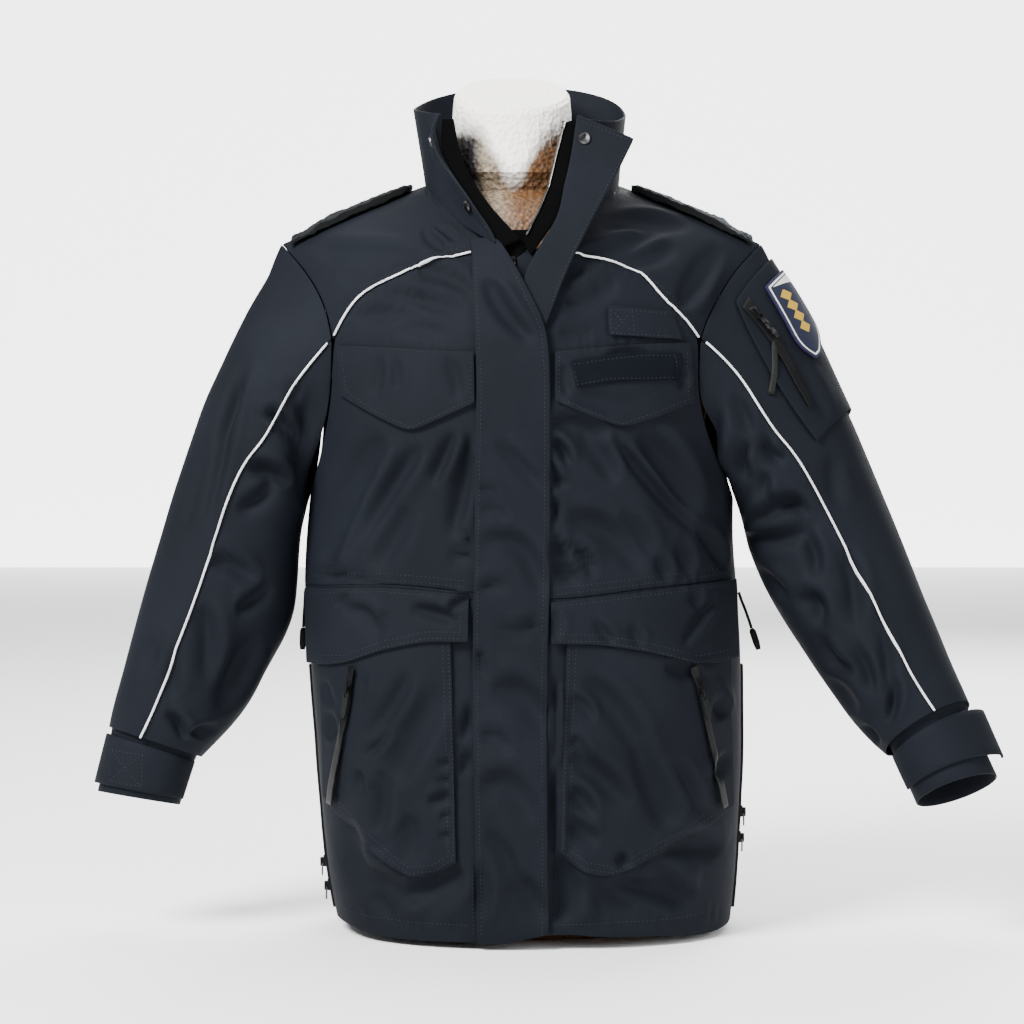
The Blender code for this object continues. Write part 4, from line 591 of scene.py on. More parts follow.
# Where each list counts: side of the body, then lowest and highest x and z.
creaseAreas = {"front": ("front", -400, 400, 352, 900), "stormFlap": ("front", -45, 25, -50, 640),
               "pocketFlap": ("front", -400, 400, 268, 346), "chestFlap": ("front", -400, 400, 490, 582),
               "pocket": ("front", -400, 400, -50, 292), "skirt": ("front", -400, 400, -50, 340),
               "back": ("back", -400, 400, 352, 900), "backSkirt": ("back", -400, 400, -50, 344)}
flapGap = {"left": -48, "right": 27}  # the storm flap's own lists hold between these, the others outside
sleeveCreases = {
    "right": [
        ((-217, 662), (-220, 602), (-261, 553), 17, 8.0),
        ((-199, 641), (-188, 623), (-184, 604), 6, 3.5),
        ((-229, 653), (-231, 629), (-247, 600), 8, 3.5),
        ((-273, 547), (-288, 498), (-306, 404), 8, 3.0),
        ((-230, 553), (-220, 537), (-214, 533), 8, 4.5),
        ((-249, 508), (-237, 508), (-214, 481), 8, 4.5),
        ((-267, 463), (-245, 457), (-222, 445), 8, 5.0),
        ((-279, 422), (-259, 428), (-241, 447), 8, 4.0),
        ((-196, 555), (-206, 504), (-212, 422), 16, 6.0),
        ((-259, 592), (-279, 541), (-296, 483), 7, 2.5),
        ((-312, 483), (-320, 443), (-331, 402), 9, 2.0),
        ((-307, 370), (-284, 368), (-259, 350), 8, 4.0),
        ((-278, 322), (-265, 329), (-245, 345), 7, 4.0),
        ((-313, 327), (-306, 299), (-307, 249), 11, 4.0),
        ((-347, 224), (-334, 212), (-329, 193), 6, 4.0),
        ((-257, 293), (-276, 266), (-295, 218), 11, 5.0),
        ((-338, 283), (-340, 260), (-338, 237), 9, 2.0),
        ((-366, 299), (-361, 283), (-372, 264), 10, 2.0),
        ((-322, 197), (-315, 203), (-297, 206), 6, 3.0),
    ],
    "left": [
        ((204, 664), (199, 628), (181, 585), 14, 7.0),
        ((189, 539), (178, 500), (173, 455), 16, 6.0),
        ((235, 494), (239, 475), (257, 471), 7, 5.0),
        ((221, 487), (210, 469), (221, 448), 8, 4.5),
        ((203, 530), (210, 516), (221, 491), 9, 4.0),
        ((237, 457), (234, 441), (241, 423), 8, 3.0),
        ((305, 477), (303, 446), (310, 420), 9, 2.0),
        ((267, 562), (284, 535), (298, 507), 8, 1.5),
        ((221, 400), (255, 426), (276, 412), 9, 6.0),
        ((217, 388), (249, 393), (285, 407), 9, 5.0),
        ((272, 395), (281, 380), (283, 354), 8, 4.5),
        ((308, 382), (319, 350), (318, 305), 10, 4.5),
        ((266, 326), (283, 331), (286, 305), 9, 5.5),
        ((289, 301), (298, 274), (320, 266), 8, 4.5),
        ((318, 293), (331, 267), (334, 245), 7, 3.5),
        ((344, 309), (351, 277), (346, 245), 7, 3.0),
        ((358, 261), (356, 240), (351, 216), 6, 4.5),
        ((328, 210), (338, 202), (344, 190), 5, 3.5),
        ((231, 362), (241, 346), (259, 334), 9, 4.0),
        ((294, 255), (310, 240), (322, 220), 9, 3.0),
    ],
}
backSleeveCreases = {
    "right": [
        ((-236, 560), (-262, 500), (-282, 440), 15, 5.0),
        ((-244, 470), (-270, 440), (-306, 436), 9, 4.0),
        ((-250, 400), (-280, 372), (-322, 384), 10, 4.5),
        ((-262, 350), (-300, 326), (-346, 340), 10, 4.0),
        ((-290, 320), (-318, 270), (-330, 220), 12, 4.0),
        ((-330, 300), (-356, 260), (-380, 240), 9, 3.0),
    ],
    "left": [
        ((236, 560), (262, 500), (286, 440), 15, 5.0),
        ((246, 470), (276, 440), (312, 446), 9, 4.0),
        ((256, 404), (290, 376), (334, 400), 10, 4.5),
        ((280, 352), (316, 326), (362, 350), 10, 4.0),
        ((310, 320), (344, 280), (356, 230), 12, 4.0),
        ((350, 310), (384, 280), (404, 262), 9, 3.0),
    ],
}
creaseGain = {"body": 3.1, "sleeve": 2.5, "flap": 2.3}
ripples = {"seed": 7, "count": 16, "long": 0.14, "short": 0.035, "height": 0.55}
# Seams whose thread draws the cloth up: side, height and length of the puckers, and the line they follow.
puckers = [
    ("front", 0.9, 11, [(-210, 352), (-150, 354), (-50, 343)]),
    ("front", 0.9, 11, [(28, 338), (110, 345), (208, 356)]),
    ("front", 0.8, 13, [(-66, 296), (-64, 190), (-62, 84)]),
    ("front", 0.8, 12, [(40, 292), (38, 190), (36, 94)]),
    ("front", 0.7, 12, [(-62, 84), (-110, 68), (-192, 136)]),
    ("front", 0.7, 12, [(36, 94), (84, 71), (204, 126)]),
    ("front", 0.8, 12, [(-196, 30), (-100, 24), (-52, 24)]),
    ("front", 0.8, 12, [(30, 30), (120, 28), (208, 24)]),
    ("front", 0.6, 9, [(-170, 606), (-97, 654), (-46, 668)]),
    ("front", 0.6, 9, [(60, 662), (117, 641), (162, 592)]),
    ("front", 0.5, 10, [(-178, 582), (-107, 578), (-48, 575)]),
    ("front", 0.6, 9, [(32, 575), (95, 581), (160, 583)]),
    ("front", 0.5, 14, [(-38, 560), (-40, 300), (-38, 20)]),
    ("front", 0.5, 13, [(19, 560), (18, 300), (19, 20)]),
    ("back", 0.9, 12, [(-208, 350), (0, 346), (208, 352)]),
    ("back", 0.8, 13, [(-196, 26), (0, 22), (200, 26)]),
]
puckerReach = 7.0
# Hard pieces that keep their place, as x, z and two radii: creases fade out from the second to the first.
stillPlaces = [(-169.6, 245, 12, 26), (174.4, 243, 12, 26), (-200, 61, 10, 20), (-196, 37, 10, 20),
               (222, 111, 10, 20), (221, 85, 10, 20), (-10, 657, 12, 26)]


def smoothStep(value):
    value = np.clip(value, 0, 1)
    return value * value * (3 - 2 * value)


def bentLine(start, through, end, steps=24):
    start, through, end = (np.array(point, float) for point in (start, through, end))
    control = 2 * through - (start + end) / 2
    spots = np.linspace(0, 1, steps + 1)[:, None]
    return (1 - spots) ** 2 * start + 2 * spots * (1 - spots) * control + spots**2 * end


def besideLine(place, line):
    # Distance to the line, on which side, and how far along it from 0 to 1.
    best = np.full(len(place), 1e9)
    signed = np.zeros(len(place))
    along = np.zeros(len(place))
    steps = len(line) - 1
    for i in range(steps):
        run = line[i + 1] - line[i]
        off = place - line[i]
        share = np.clip(off @ run / (run @ run), 0, 1)
        miss = off - share[:, None] * run
        distance = np.hypot(miss[:, 0], miss[:, 1])
        closer = distance < best
        best = np.where(closer, distance, best)
        signed = np.where(closer, np.sign(run[0] * off[:, 1] - run[1] * off[:, 0]) * distance, signed)
        along = np.where(closer, (i + share) / steps, along)
    return best, signed, along


def nearLine(x, z, line, reach):
    lowest = line.min(axis=0) - reach
    highest = line.max(axis=0) + reach
    return np.flatnonzero((x > lowest[0]) & (x < highest[0]) & (z > lowest[1]) & (z < highest[1]))


def creaseDepth(x, z, creases):
    # How far the cloth sinks, in millimetres, at places given in millimetres.
    depth = np.zeros(len(x))
    for start, through, end, width, deep in creases:
        line = bentLine(start, through, end)
        near = nearLine(x, z, line, 3.2 * width)
        if not len(near):
            continue
        best, signed, along = besideLine(np.stack([x[near], z[near]], -1), line)
        taper = np.clip(1 - np.abs(2 * along - 1) ** 2.6, 0, 1)
        narrow = width * (0.65 + 0.35 * taper)
        trough = np.exp(-((signed / narrow) ** 2))
        lip = 0.42 * np.exp(-(((signed - 1.5 * narrow) / (0.9 * narrow)) ** 2))
        depth[near] += deep * taper * (trough - lip)
    return depth


def puckerHeight(x, z, side):
    height = np.zeros(len(x))
    for row, (onSide, rise, length, line) in enumerate(puckers):
        if onSide != side:
            continue
        line = bentLine(*line)
        near = nearLine(x, z, line, 3 * puckerReach)
        if not len(near):
            continue
        best, signed, along = besideLine(np.stack([x[near], z[near]], -1), line)
        total = np.hypot(*np.diff(line, axis=0).T).sum()
        phase = 2 * pi * along * total / length
        uneven = np.sin(phase + 1.3 * np.sin(phase * 0.37 + row))
        uneven *= 0.65 + 0.35 * np.sin(phase * 0.23 + 2 * row)
        ends = np.clip(8 * np.minimum(along, 1 - along), 0, 1)
        height[near] += rise * uneven * ends * np.exp(-((signed / puckerReach) ** 2))
    return height


def rippleHeight(points):
    # Slow unevenness of worn cloth: a few waves in fixed, seeded directions.
    draw = np.random.default_rng(ripples["seed"])
    height = np.zeros(len(points))
    for _ in range(ripples["count"]):
        direction = draw.normal(size=3)
        direction /= np.linalg.norm(direction)
        length = draw.uniform(ripples["short"], ripples["long"]) * 1000
        height += np.sin(points @ direction * 2 * pi / length + draw.uniform(0, 2 * pi)) * length / 160
    return height * ripples["height"] / np.sqrt(ripples["count"])


# The body's section, and from which height its outward direction turns up over the shoulders.
bodySize = {"halfWidth": 214.0, "halfDepth": 150.0, "power": 1.3, "domeFoot": 500.0, "domeTop": 745.0,
            "domeLift": 0.009}
# How deep the cloth may sink by its height, since the foam is close behind it near the shoulders.
sinkLimit = {"z": (560, 640, 745), "deep": (13, 5.0, 2.5)}
# Where the body's cloth keeps still: beside the armholes and round the neck.
armholeEdge = {"foot": 427, "height": 254, "x": 212, "inward": 28, "soft": 24}
neckRing = {"z": 742, "halfWidth": 110, "halfHeight": 70}
sleeveAxis = {
    "right": ((-226, 0, 554), (-254, -2, 491), (-280, -8, 403), (-302, -18, 330), (-322, -26, 271),
              (-375, -40, 160)),
    "left": ((225, 0, 554), (253, -3, 498), (289, -17, 409), (316, -38, 338), (340, -58, 275),
             (412, -96, 170)),
}


def bodyOutward(points):
    x, y, z = points.T
    dome = smoothStep((z - bodySize["domeFoot"]) / (bodySize["domeTop"] - bodySize["domeFoot"]))
    away = np.stack([
        np.sign(x) * np.abs(x / bodySize["halfWidth"]) ** bodySize["power"] / bodySize["halfWidth"],
        np.sign(y) * np.abs(y / bodySize["halfDepth"]) ** bodySize["power"] / bodySize["halfDepth"],
        dome**2 * bodySize["domeLift"],
    ], -1)
    return away / (np.linalg.norm(away, axis=1, keepdims=True) + 1e-9)


def sleeveOutward(points, wearer):
    axis = np.array(sleeveAxis[wearer], float)
    best = np.full(len(points), 1e9)
    away = np.zeros_like(points)
    along = np.zeros(len(points))
    for i in range(len(axis) - 1):
        run = axis[i + 1] - axis[i]
        off = points - axis[i]
        share = off @ run / (run @ run)
        low = -5 if i == 0 else 0
        high = 5 if i == len(axis) - 2 else 1
        share = np.clip(share, low, high)
        miss = off - share[:, None] * run
        distance = np.linalg.norm(miss, axis=1)
        closer = distance < best
        best = np.where(closer, distance, best)
        away[closer] = miss[closer]
        along = np.where(closer, i + share, along)
    return away / (np.linalg.norm(away, axis=1, keepdims=True) + 1e-9), along


def inside(value, low, high, soft=2.5):
    return smoothStep((value - low) / soft + 0.5) * smoothStep((high - value) / soft + 0.5)


def bodyShift(points):
    # The body's creases, puckers and ripples: one field for every layer, faded out towards the armholes.
    x, y, z = points.T
    half = {"front": smoothStep(-y / 60 + 0.1), "back": smoothStep(y / 60 + 0.1)}
    underFlap = inside(x, flapGap["left"], flapGap["right"]) * smoothStep((650 - z) / 20)
    sink = np.zeros(len(x))
    for name, (side, lowX, highX, lowZ, highZ) in creaseAreas.items():
        share = half[side] * inside(x, lowX, highX) * inside(z, lowZ, highZ, 6)
        if side == "front" and name != "stormFlap":
            share = share * (1 - underFlap)
        gain = creaseGain["flap" if "lap" in name or name == "pocket" else "body"]
        sink += creaseDepth(x, z, bodyCreases[name]) * share * gain
    deepest = np.interp(z, sinkLimit["z"], sinkLimit["deep"])
    sink = np.where(sink > 0, deepest * np.tanh(sink / deepest), sink)
    for side in half:
        sink -= puckerHeight(x, z, side) * half[side]
    share = np.clip((z - armholeEdge["foot"]) / armholeEdge["height"], 0, 1)
    edge = armholeEdge["x"] - armholeEdge["inward"] * np.sin(share * pi)
    edge = np.where(z > armholeEdge["foot"], edge, 400)
    calm = smoothStep((edge - np.abs(x)) / armholeEdge["soft"] + 0.15)
    for placeX, placeZ, near, far in stillPlaces:
        calm = calm * smoothStep((np.hypot(x - placeX, z - placeZ) - near) / (far - near))
    neck = np.hypot(x / neckRing["halfWidth"], (z - neckRing["z"]) / neckRing["halfHeight"])
    calm = calm * smoothStep((neck - 0.8) / 0.5)
    return bodyOutward(points) * ((rippleHeight(points) - sink) * calm)[:, None]


def sleeveShift(points, wearer):
    outward, along = sleeveOutward(points, wearer)
    calm = smoothStep(along / 0.7 + 0.1)
    facing = smoothStep(-outward[:, 1] * 1.6 + 0.25)
    rear = smoothStep(outward[:, 1] * 1.6 + 0.25)
    sink = creaseDepth(points[:, 0], points[:, 2], sleeveCreases[wearer]) * facing
    sink = sink + creaseDepth(points[:, 0], points[:, 2], backSleeveCreases[wearer]) * rear
    return outward * ((rippleHeight(points) - sink * creaseGain["sleeve"]) * calm)[:, None]


def denseCopy(node, levels):
    # A finer closed copy of a CAD wall: its triangles become quads again, and its rims stay crisp.
    mesh = nodes[node].data.copy()
    mesh.materials.clear()
    shape = bmesh.new()
    shape.from_mesh(mesh)
    bmesh.ops.remove_doubles(shape, verts=shape.verts, dist=0.00002)
    bmesh.ops.join_triangles(shape, faces=shape.faces, angle_face_threshold=radians(38),
                             angle_shape_threshold=radians(50))
    crease = shape.edges.layers.float.get("crease_edge") or shape.edges.layers.float.new("crease_edge")
    for edge in shape.edges:
        if len(edge.link_faces) == 2 and edge.calc_face_angle(0) > radians(50):
            edge[crease] = 0.93
    shape.to_mesh(mesh)
    shape.free()
    piece = bpy.data.objects.new(node + "_cloth", mesh)
    scene.collection.objects.link(piece)
    finer = piece.modifiers.new("finer", "SUBSURF")
    finer.levels = finer.render_levels = levels
    bpy.context.view_layer.objects.active = piece
    bpy.ops.object.modifier_apply(modifier="finer")
    return piece


def readPoints(piece):
    points = np.empty(len(piece.data.vertices) * 3)
    piece.data.vertices.foreach_get("co", points)
    return points.reshape(-1, 3) / mm


def writePoints(piece, points):
    piece.data.vertices.foreach_set("co", (points * mm).ravel())
    piece.data.update()


def finish(piece, node, material):
    piece.data.materials.clear()
    piece.data.materials.append(material)
    for face in piece.data.polygons:
        face.use_smooth = True
    bpy.context.view_layer.objects.active = piece
    piece.select_set(True)
    bpy.ops.object.shade_smooth_by_angle(angle=radians(48))
    piece.select_set(False)
    body = nodes[node]["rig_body"]
    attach(piece, body)
    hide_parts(node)
    return piece


# Each cloth piece: its CAD node, how fine it is, what it follows and its material.
clothPieces = {
    "front_right": (3, "body", shellCloth), "front_left": (3, "body", shellCloth),
    "yoke_right": (3, "body", shellCloth), "yoke_left": (3, "body", shellCloth),
    "skirt_right": (3, "body", shellCloth), "skirt_left": (3, "body", shellCloth),
    "back": (3, "body", shellCloth), "back_skirt": (3, "body", shellCloth),
    "storm_flap": (3, "body", shellCloth),
    "chest_flap_right": (3, "body", shellCloth), "chest_flap_left": (3, "body", shellCloth),
    "name_strip": (3, "body", stripCloth), "name_loop": (3, "body", shellCloth),
    "pocket_flap_right": (3, "body", shellCloth), "pocket_flap_left": (3, "body", shellCloth),
    "patch_pocket_right": (3, "body", shellCloth), "patch_pocket_left": (3, "body", shellCloth),
    "yoke_piping_right": (2, "body", reflectivePiping), "yoke_piping_left": (2, "body", reflectivePiping),
    "epaulette_right": (3, "felt", ribbedCloth), "epaulette_left": (3, "felt", ribbedCloth),
    "sleeve_top_right": (3, "right", shellCloth), "sleeve_top_left": (3, "left", shellCloth),
    "sleeve_under_right": (3, "right", shellCloth), "sleeve_under_left": (3, "left", shellCloth),
    "sleeve_piping_right": (2, "right", reflectivePiping),
    "sleeve_piping_left": (2, "left", reflectivePiping),
    "cuff_right": (2, "still", shellCloth), "cuff_left": (2, "still", shellCloth),
    "cuff_strap_right": (2, "still", shellCloth), "cuff_strap_left": (2, "still", shellCloth),
    "sleeve_pocket": (3, "left", shellCloth), "arm_patch": (4, "left", badgeCloth),
    "front_zip": (2, "body", zipTape),
    "side_zip_right": (2, "body", zipTape), "side_zip_left": (2, "body", zipTape),
    "pocket_zip_right": (2, "body", coatedTape), "pocket_zip_left": (2, "body", coatedTape),
    "sleeve_zip": (2, "left", coatedTape),
    "collar": (3, "collar", shellCloth), "neck_flap": (3, "still", shellCloth),
    "collar_facing_right": (2, "still", liningAndShadeCloth), "collar_facing_left": (2, "still", liningAndShadeCloth),
}


# How far the collar's foot drops over the neckline: in front by its distance from the middle, then behind.
collarFoot = {"x": (14, 30, 47, 70, 88, 96), "z": (671, 679, 689, 709, 729, 739), "drop": (9, 9, 8, 5, 3, 2),
              "soft": 16, "frontFrom": 20, "backZ": 745, "backDip": 4, "backHalf": 90, "backDrop": 3.0,
              "spread": 0.35}
felt = {"seed": 5, "waves": 14, "rise": 0.9, "scale": 0.11}


def collarShift(points):
    x, y, z = points.T
    across = np.abs(x)
    front = smoothStep((collarFoot["frontFrom"] - y) / collarFoot["frontFrom"])
    behind = collarFoot["backZ"] - collarFoot["backDip"] * (across / collarFoot["backHalf"]) ** 2
    foot = front * np.interp(across, collarFoot["x"], collarFoot["z"]) + (1 - front) * behind
    frontDrop = np.interp(across, collarFoot["x"], collarFoot["drop"])
    share = smoothStep(1 - (z - foot) / collarFoot["soft"])
    drop = share * (front * frontDrop + (1 - front) * collarFoot["backDrop"])
    return np.stack([0 * x, collarFoot["spread"] * drop * np.sign(y), -drop], -1)


def feltShift(points):
    draw = np.random.default_rng(felt["seed"])
    height = np.zeros(len(points))
    for _ in range(felt["waves"]):
        direction = draw.normal(size=3)
        height += np.sin(points @ direction * felt["scale"] * draw.uniform(2, 7) + draw.uniform(0, 6))
    return np.stack([0 * height, 0 * height, height * felt["rise"] / 3.7], -1)


def shiftOf(points, follows):
    if follows == "collar":
        return collarShift(points)
    if follows == "felt":
        return bodyShift(points) + feltShift(points)
    if follows == "body":
        return bodyShift(points)
    if follows in ("right", "left"):
        return sleeveShift(points, follows)
    return np.zeros_like(points)


zipShape = {"sideInward": 4.0, "pocketShare": 0.62, "stations": 26, "window": 9}


def closeBehind(piece):
    # Thickens a side zip inwards, so that no light shows between it and the cloth.
    points = readPoints(piece)
    normals = np.empty(len(points) * 3)
    piece.data.vertex_normals.foreach_get("vector", normals)
    outward = normals.reshape(-1, 3)[:, 0] * np.sign(points[:, 0])
    points[:, 0] -= np.sign(points[:, 0]) * zipShape["sideInward"] * smoothStep(-outward * 2)
    writePoints(piece, points)


def narrow(piece):
    # Draws a pocket zip in towards its own middle line, seen from the front, to the share that shows.
    points = readPoints(piece)
    high = points[:, 2]
    stations = np.linspace(high.min(), high.max(), zipShape["stations"])
    middle = np.array([points[np.abs(high - spot) < zipShape["window"]][:, 0].mean() for spot in stations])
    centre = np.interp(high, stations, middle)
    points[:, 0] = centre + (points[:, 0] - centre) * zipShape["pocketShare"]
    writePoints(piece, points)


def markBadge(piece):
    # Stores how far each point is from the badge's rim, along it from its top, and across it.
    points = readPoints(piece)
    middle = points.mean(axis=0)
    normal = np.linalg.svd(points - middle, full_matrices=False)[2][2]
    length = np.array(sleeveAxis["left"][2], float) - sleeveAxis["left"][0]
    length -= normal * (length @ normal)
    length /= np.linalg.norm(length)
    width = np.cross(length, normal)
    width *= -1 if width[1] > 0 else 1
    flat = np.stack([(points - middle) @ length, (points - middle) @ width], -1)
    hull = convex_hull_2d([tuple(place) for place in flat])
    rim = flat[list(hull) + [hull[0]]]
    placed = piece.data.attributes.new("badgePlace", "FLOAT_VECTOR", "POINT")
    edge = besideLine(flat, rim)[0]
    placed.data.foreach_set("vector", np.stack([edge, flat[:, 0] - flat[:, 0].min(), flat[:, 1]], -1).ravel())


dressed = {}
for node, (levels, follows, material) in clothPieces.items():
    piece = denseCopy(node, levels)
    points = readPoints(piece)
    writePoints(piece, points + shiftOf(points, follows))
    if node == "arm_patch":
        markBadge(piece)
    if node.startswith("side_zip"):
        closeBehind(piece)
    if node.startswith("pocket_zip"):
        narrow(piece)
    dressed[node] = finish(piece, node, material)

print("cloth dressed", sum(len(piece.data.polygons) for piece in dressed.values()))

thread = {"stitch": 2.9, "gap": 1.1, "thick": 0.75, "lift": 0.12, "dip": 0.3, "lookFrom": 400}


def twice(row, apart=6):
    # The same row sewn again above itself.
    return [row, [(x, z + apart) for x, z in row]]


# Sewing, as seen from the front: rows of x and z in millimetres.
sewing = {
    "chest_flap_right": [
        [(-175, 574), (-170, 535), (-141, 516), (-107, 500), (-76, 514), (-49, 527), (-49, 569)]],
    "chest_flap_left": [[(35, 569), (35, 529), (62, 516), (95, 504), (129, 515), (160, 527), (158, 577)]],
    "pocket_flap_right": [
        [(-203, 271), (-172, 274), (-133, 290), (-91, 300), (-54, 300)],
        [(-202, 277), (-172, 280), (-133, 296), (-91, 306), (-59, 306), (-59, 334)],
        [(-208, 337), (-175, 341), (-135, 343), (-92, 341), (-54, 337)]],
    "pocket_flap_left": [
        [(203, 277), (169, 274), (122, 288), (75, 297), (30, 298)],
        [(202, 283), (169, 280), (122, 294), (75, 303), (36, 304), (36, 330)],
        [(205, 346), (168, 344), (122, 340), (75, 335), (30, 330)]],
    "waist": [
        *twice([(-206, 348), (-175, 352), (-135, 354), (-92, 352), (-50, 348)]),
        *twice([(28, 341), (75, 346), (122, 351), (168, 355), (206, 357)])],
    "patch_pocket_right": [
        [(-71, 294), (-68, 220), (-66, 150), (-66, 88)], [(-76, 294), (-74, 220), (-72, 150), (-71, 91)],
        [(-66, 88), (-84, 76), (-110, 72), (-152, 103), (-190, 139)],
        [(-71, 91), (-86, 82), (-110, 78), (-150, 108), (-188, 144)]],
    "patch_pocket_left": [
        [(45, 290), (42, 220), (40, 150), (38, 96)], [(51, 290), (48, 220), (46, 150), (44, 99)],
        [(38, 96), (60, 80), (86, 75), (148, 103), (201, 132)],
        [(44, 99), (62, 86), (86, 81), (147, 109), (199, 138)]],
    "storm_flap": [
        [(-39, 14), (-41, 120), (-43, 240), (-43, 340), (-41, 450), (-39, 545), (-42, 600), (-45, 668)],
        [(19, 14), (19, 120), (18, 240), (20, 350), (21, 450), (21, 545), (18, 592), (5, 620), (-7, 645),
         (-20, 668)]],
    "front_edge": [[(31, 14), (31, 80)], [(-47, 14), (-48, 80)]],
    "hem": [[(-192, 27), (-150, 25), (-100, 24), (-49, 24)], [(30, 25), (100, 26), (150, 26), (200, 28)]],
    "name_loop": [
        [(83, 613), (104, 612), (126, 610), (141, 609)], [(84, 590), (106, 589), (131, 588), (149, 587)],
        [(84, 613), (85, 590)], [(105, 612), (107, 589)], [(84, 613), (107, 589)], [(85, 590), (105, 612)]],
    "name_strip": [
        [(48, 560), (80, 565), (115, 569), (147, 569), (149, 548), (117, 547), (84, 547), (52, 541),
         (48, 560)]],
    "cuff_strap_right": [
        [(-403, 184), (-370, 181), (-371, 150), (-404, 155), (-403, 184)], [(-403, 184), (-371, 150)],
        [(-404, 155), (-370, 181)]],
    "neck_flap": [[(105, 777), (87, 742), (73, 716), (60, 691), (46, 663), (35, 638), (27, 617)],
                  [(57, 796), (104, 777)]],
    "collar": [[(-84, 798), (-92, 783), (-87, 762), (-63, 733), (-49, 710), (-33, 688)]],
    "yoke": [[(-46, 676), (-97, 662), (-140, 638), (-172, 600)],
             [(60, 670), (117, 650), (150, 622), (170, 590)]],
}
backSewing = {
    "back_waist": twice([(-204, 356), (-100, 352), (0, 351), (100, 352), (204, 356)]),
    "back_hem": [[(-188, 25), (-100, 23), (0, 22), (100, 23), (192, 25)]],
    "back_neck": [[(-84, 733), (-40, 737), (0, 738), (40, 737), (84, 733)]],
}


def clothTree():
    # The dressed cloth as one tree, so that a ray meets whatever lies outermost.
    corners, faces, start = [], [], 0
    for piece in dressed.values():
        points = readPoints(piece)
        corners.extend(map(tuple, points))
        faces.extend([tuple(index + start for index in face.vertices) for face in piece.data.polygons])
        start += len(points)
    return BVHTree.FromPolygons(corners, faces)


def evenPlaces(row, step):
    row = np.array(row, float)
    run = np.concatenate([[0], np.cumsum(np.hypot(*np.diff(row, axis=0).T))])
    spots = np.arange(step / 2, run[-1], step)
    return np.stack([np.interp(spots, run, row[:, 0]), np.interp(spots, run, row[:, 1])], -1)


def placePiece(name, shape, material, node, smooth=True):
    # Ends a small piece: its faces turned outwards, its material, and the node whose body it rides on.
    bmesh.ops.recalc_face_normals(shape, faces=shape.faces)
    mesh = bpy.data.meshes.new(name)
    shape.to_mesh(mesh)
    shape.free()
    for face in mesh.polygons:
        face.use_smooth = smooth
    mesh.materials.append(material)
    piece = bpy.data.objects.new(name, mesh)
    scene.collection.objects.link(piece)
    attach(piece, nodes[node]["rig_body"])


def sewRows(name, rows, side):
    # Each stitch is eight faces of thread that dip into the cloth at both ends. Side -1 is the front.
    shape = bmesh.new()
    step = thread["stitch"] + thread["gap"]
    half = thread["thick"] / 2
    for row in rows:
        places = evenPlaces(row, step)
        hits = [outermost.ray_cast((x, thread["lookFrom"] * side, z), (0, -side, 0)) for x, z in places]
        for i in range(len(hits) - 1):
            here, there = hits[i][0], hits[i + 1][0]
            if here is None or there is None or (there - here).length > 3 * step:
                continue
            normal = hits[i][1] if hits[i][1].y * side > 0 else -hits[i][1]
            run = (there - here).normalized()
            wide = run.cross(normal).normalized()
            middle = here + normal * thread["lift"]
            dip = normal * thread["dip"]
            ends = [middle - run * thread["stitch"] / 2 - dip, middle + run * thread["stitch"] / 2 - dip]
            ring = [middle + wide * half, middle + normal * half, middle - wide * half,
                    middle - normal * half]
            corners = [shape.verts.new(place * mm) for place in ends + ring]
            for k in range(4):
                a, b = corners[2 + k], corners[2 + (k + 1) % 4]
                shape.faces.new((corners[0], b, a))
                shape.faces.new((corners[1], a, b))
    placePiece("stitches_" + name, shape, threadAndSeamHighlight, "storm_flap")


outermost = clothTree()
for side, seams in ((-1, sewing), (1, backSewing)):
    for name, rows in seams.items():
        sewRows(name, rows, side)
print("rows sewn")

# Zip teeth down the wearer's left facing, with the end stop at its top.
neckTeeth = {"x": (40, 31, 24, 15, 7, 1), "y": (-71, -84, -94, -104, -112, -119),
             "z": (795, 760, 730, 708, 692, 680), "first": 6, "last": 2, "pitch": 1.9,
             "size": (2.4, 1.2, 1.15), "off": (0.4, -1.2, 0), "stop": (3.4, 2.4, 6.5),
             "stopOff": (-0.6, -1.8, -2)}


def addBlock(shape, place, size, along):
    # One small rounded metal block, turned along the tape.
    turn = Vector((0, 0, 1)).rotation_difference(along).to_matrix().to_4x4()
    made = bmesh.ops.create_cube(shape, size=1)
    verts = made["verts"]
    for vertex in verts:
        own = Vector((vertex.co.x * size[0], vertex.co.y * size[1], vertex.co.z * size[2]))
        vertex.co = (turn @ own + Vector(place)) * mm
    edges = list({edge for vertex in verts for edge in vertex.link_edges})
    bmesh.ops.bevel(shape, geom=edges, offset=min(size) * 0.28 * mm, segments=1, affect="EDGES")


def addTeeth():
    stations = np.stack([neckTeeth["x"], neckTeeth["y"], neckTeeth["z"]], -1).astype(float)
    run = np.concatenate([[0], np.cumsum(np.linalg.norm(np.diff(stations, axis=0), axis=1))])
    shape = bmesh.new()
    spots = np.arange(neckTeeth["first"], run[-1] - neckTeeth["last"], neckTeeth["pitch"])
    places = np.stack([np.interp(spots, run, stations[:, axis]) for axis in range(3)], -1)
    for i in range(len(places) - 1):
        along = Vector(places[i + 1] - places[i]).normalized()
        addBlock(shape, places[i] + np.array(neckTeeth["off"]), neckTeeth["size"], along)
    addBlock(shape, stations[0] + np.array(neckTeeth["stopOff"]), neckTeeth["stop"],
             Vector(stations[1] - stations[0]).normalized())
    placePiece("neck_zip_teeth", shape, toothMetal, "collar_facing_left", smooth=False)


addTeeth()

# Black cloth that closes the throat below the facings, in front of the form; its near-black is partly lining
# colour, partly painted shade.
throat = {"z": (690, 680, 668, 655, 640), "left": (-24, -20, -18, -16, -15), "right": (12, 10, 6, 2, -2),
          "y": (-109, -112, -115, -118, -120), "bulge": 2, "columns": 6, "thick": 1.0}


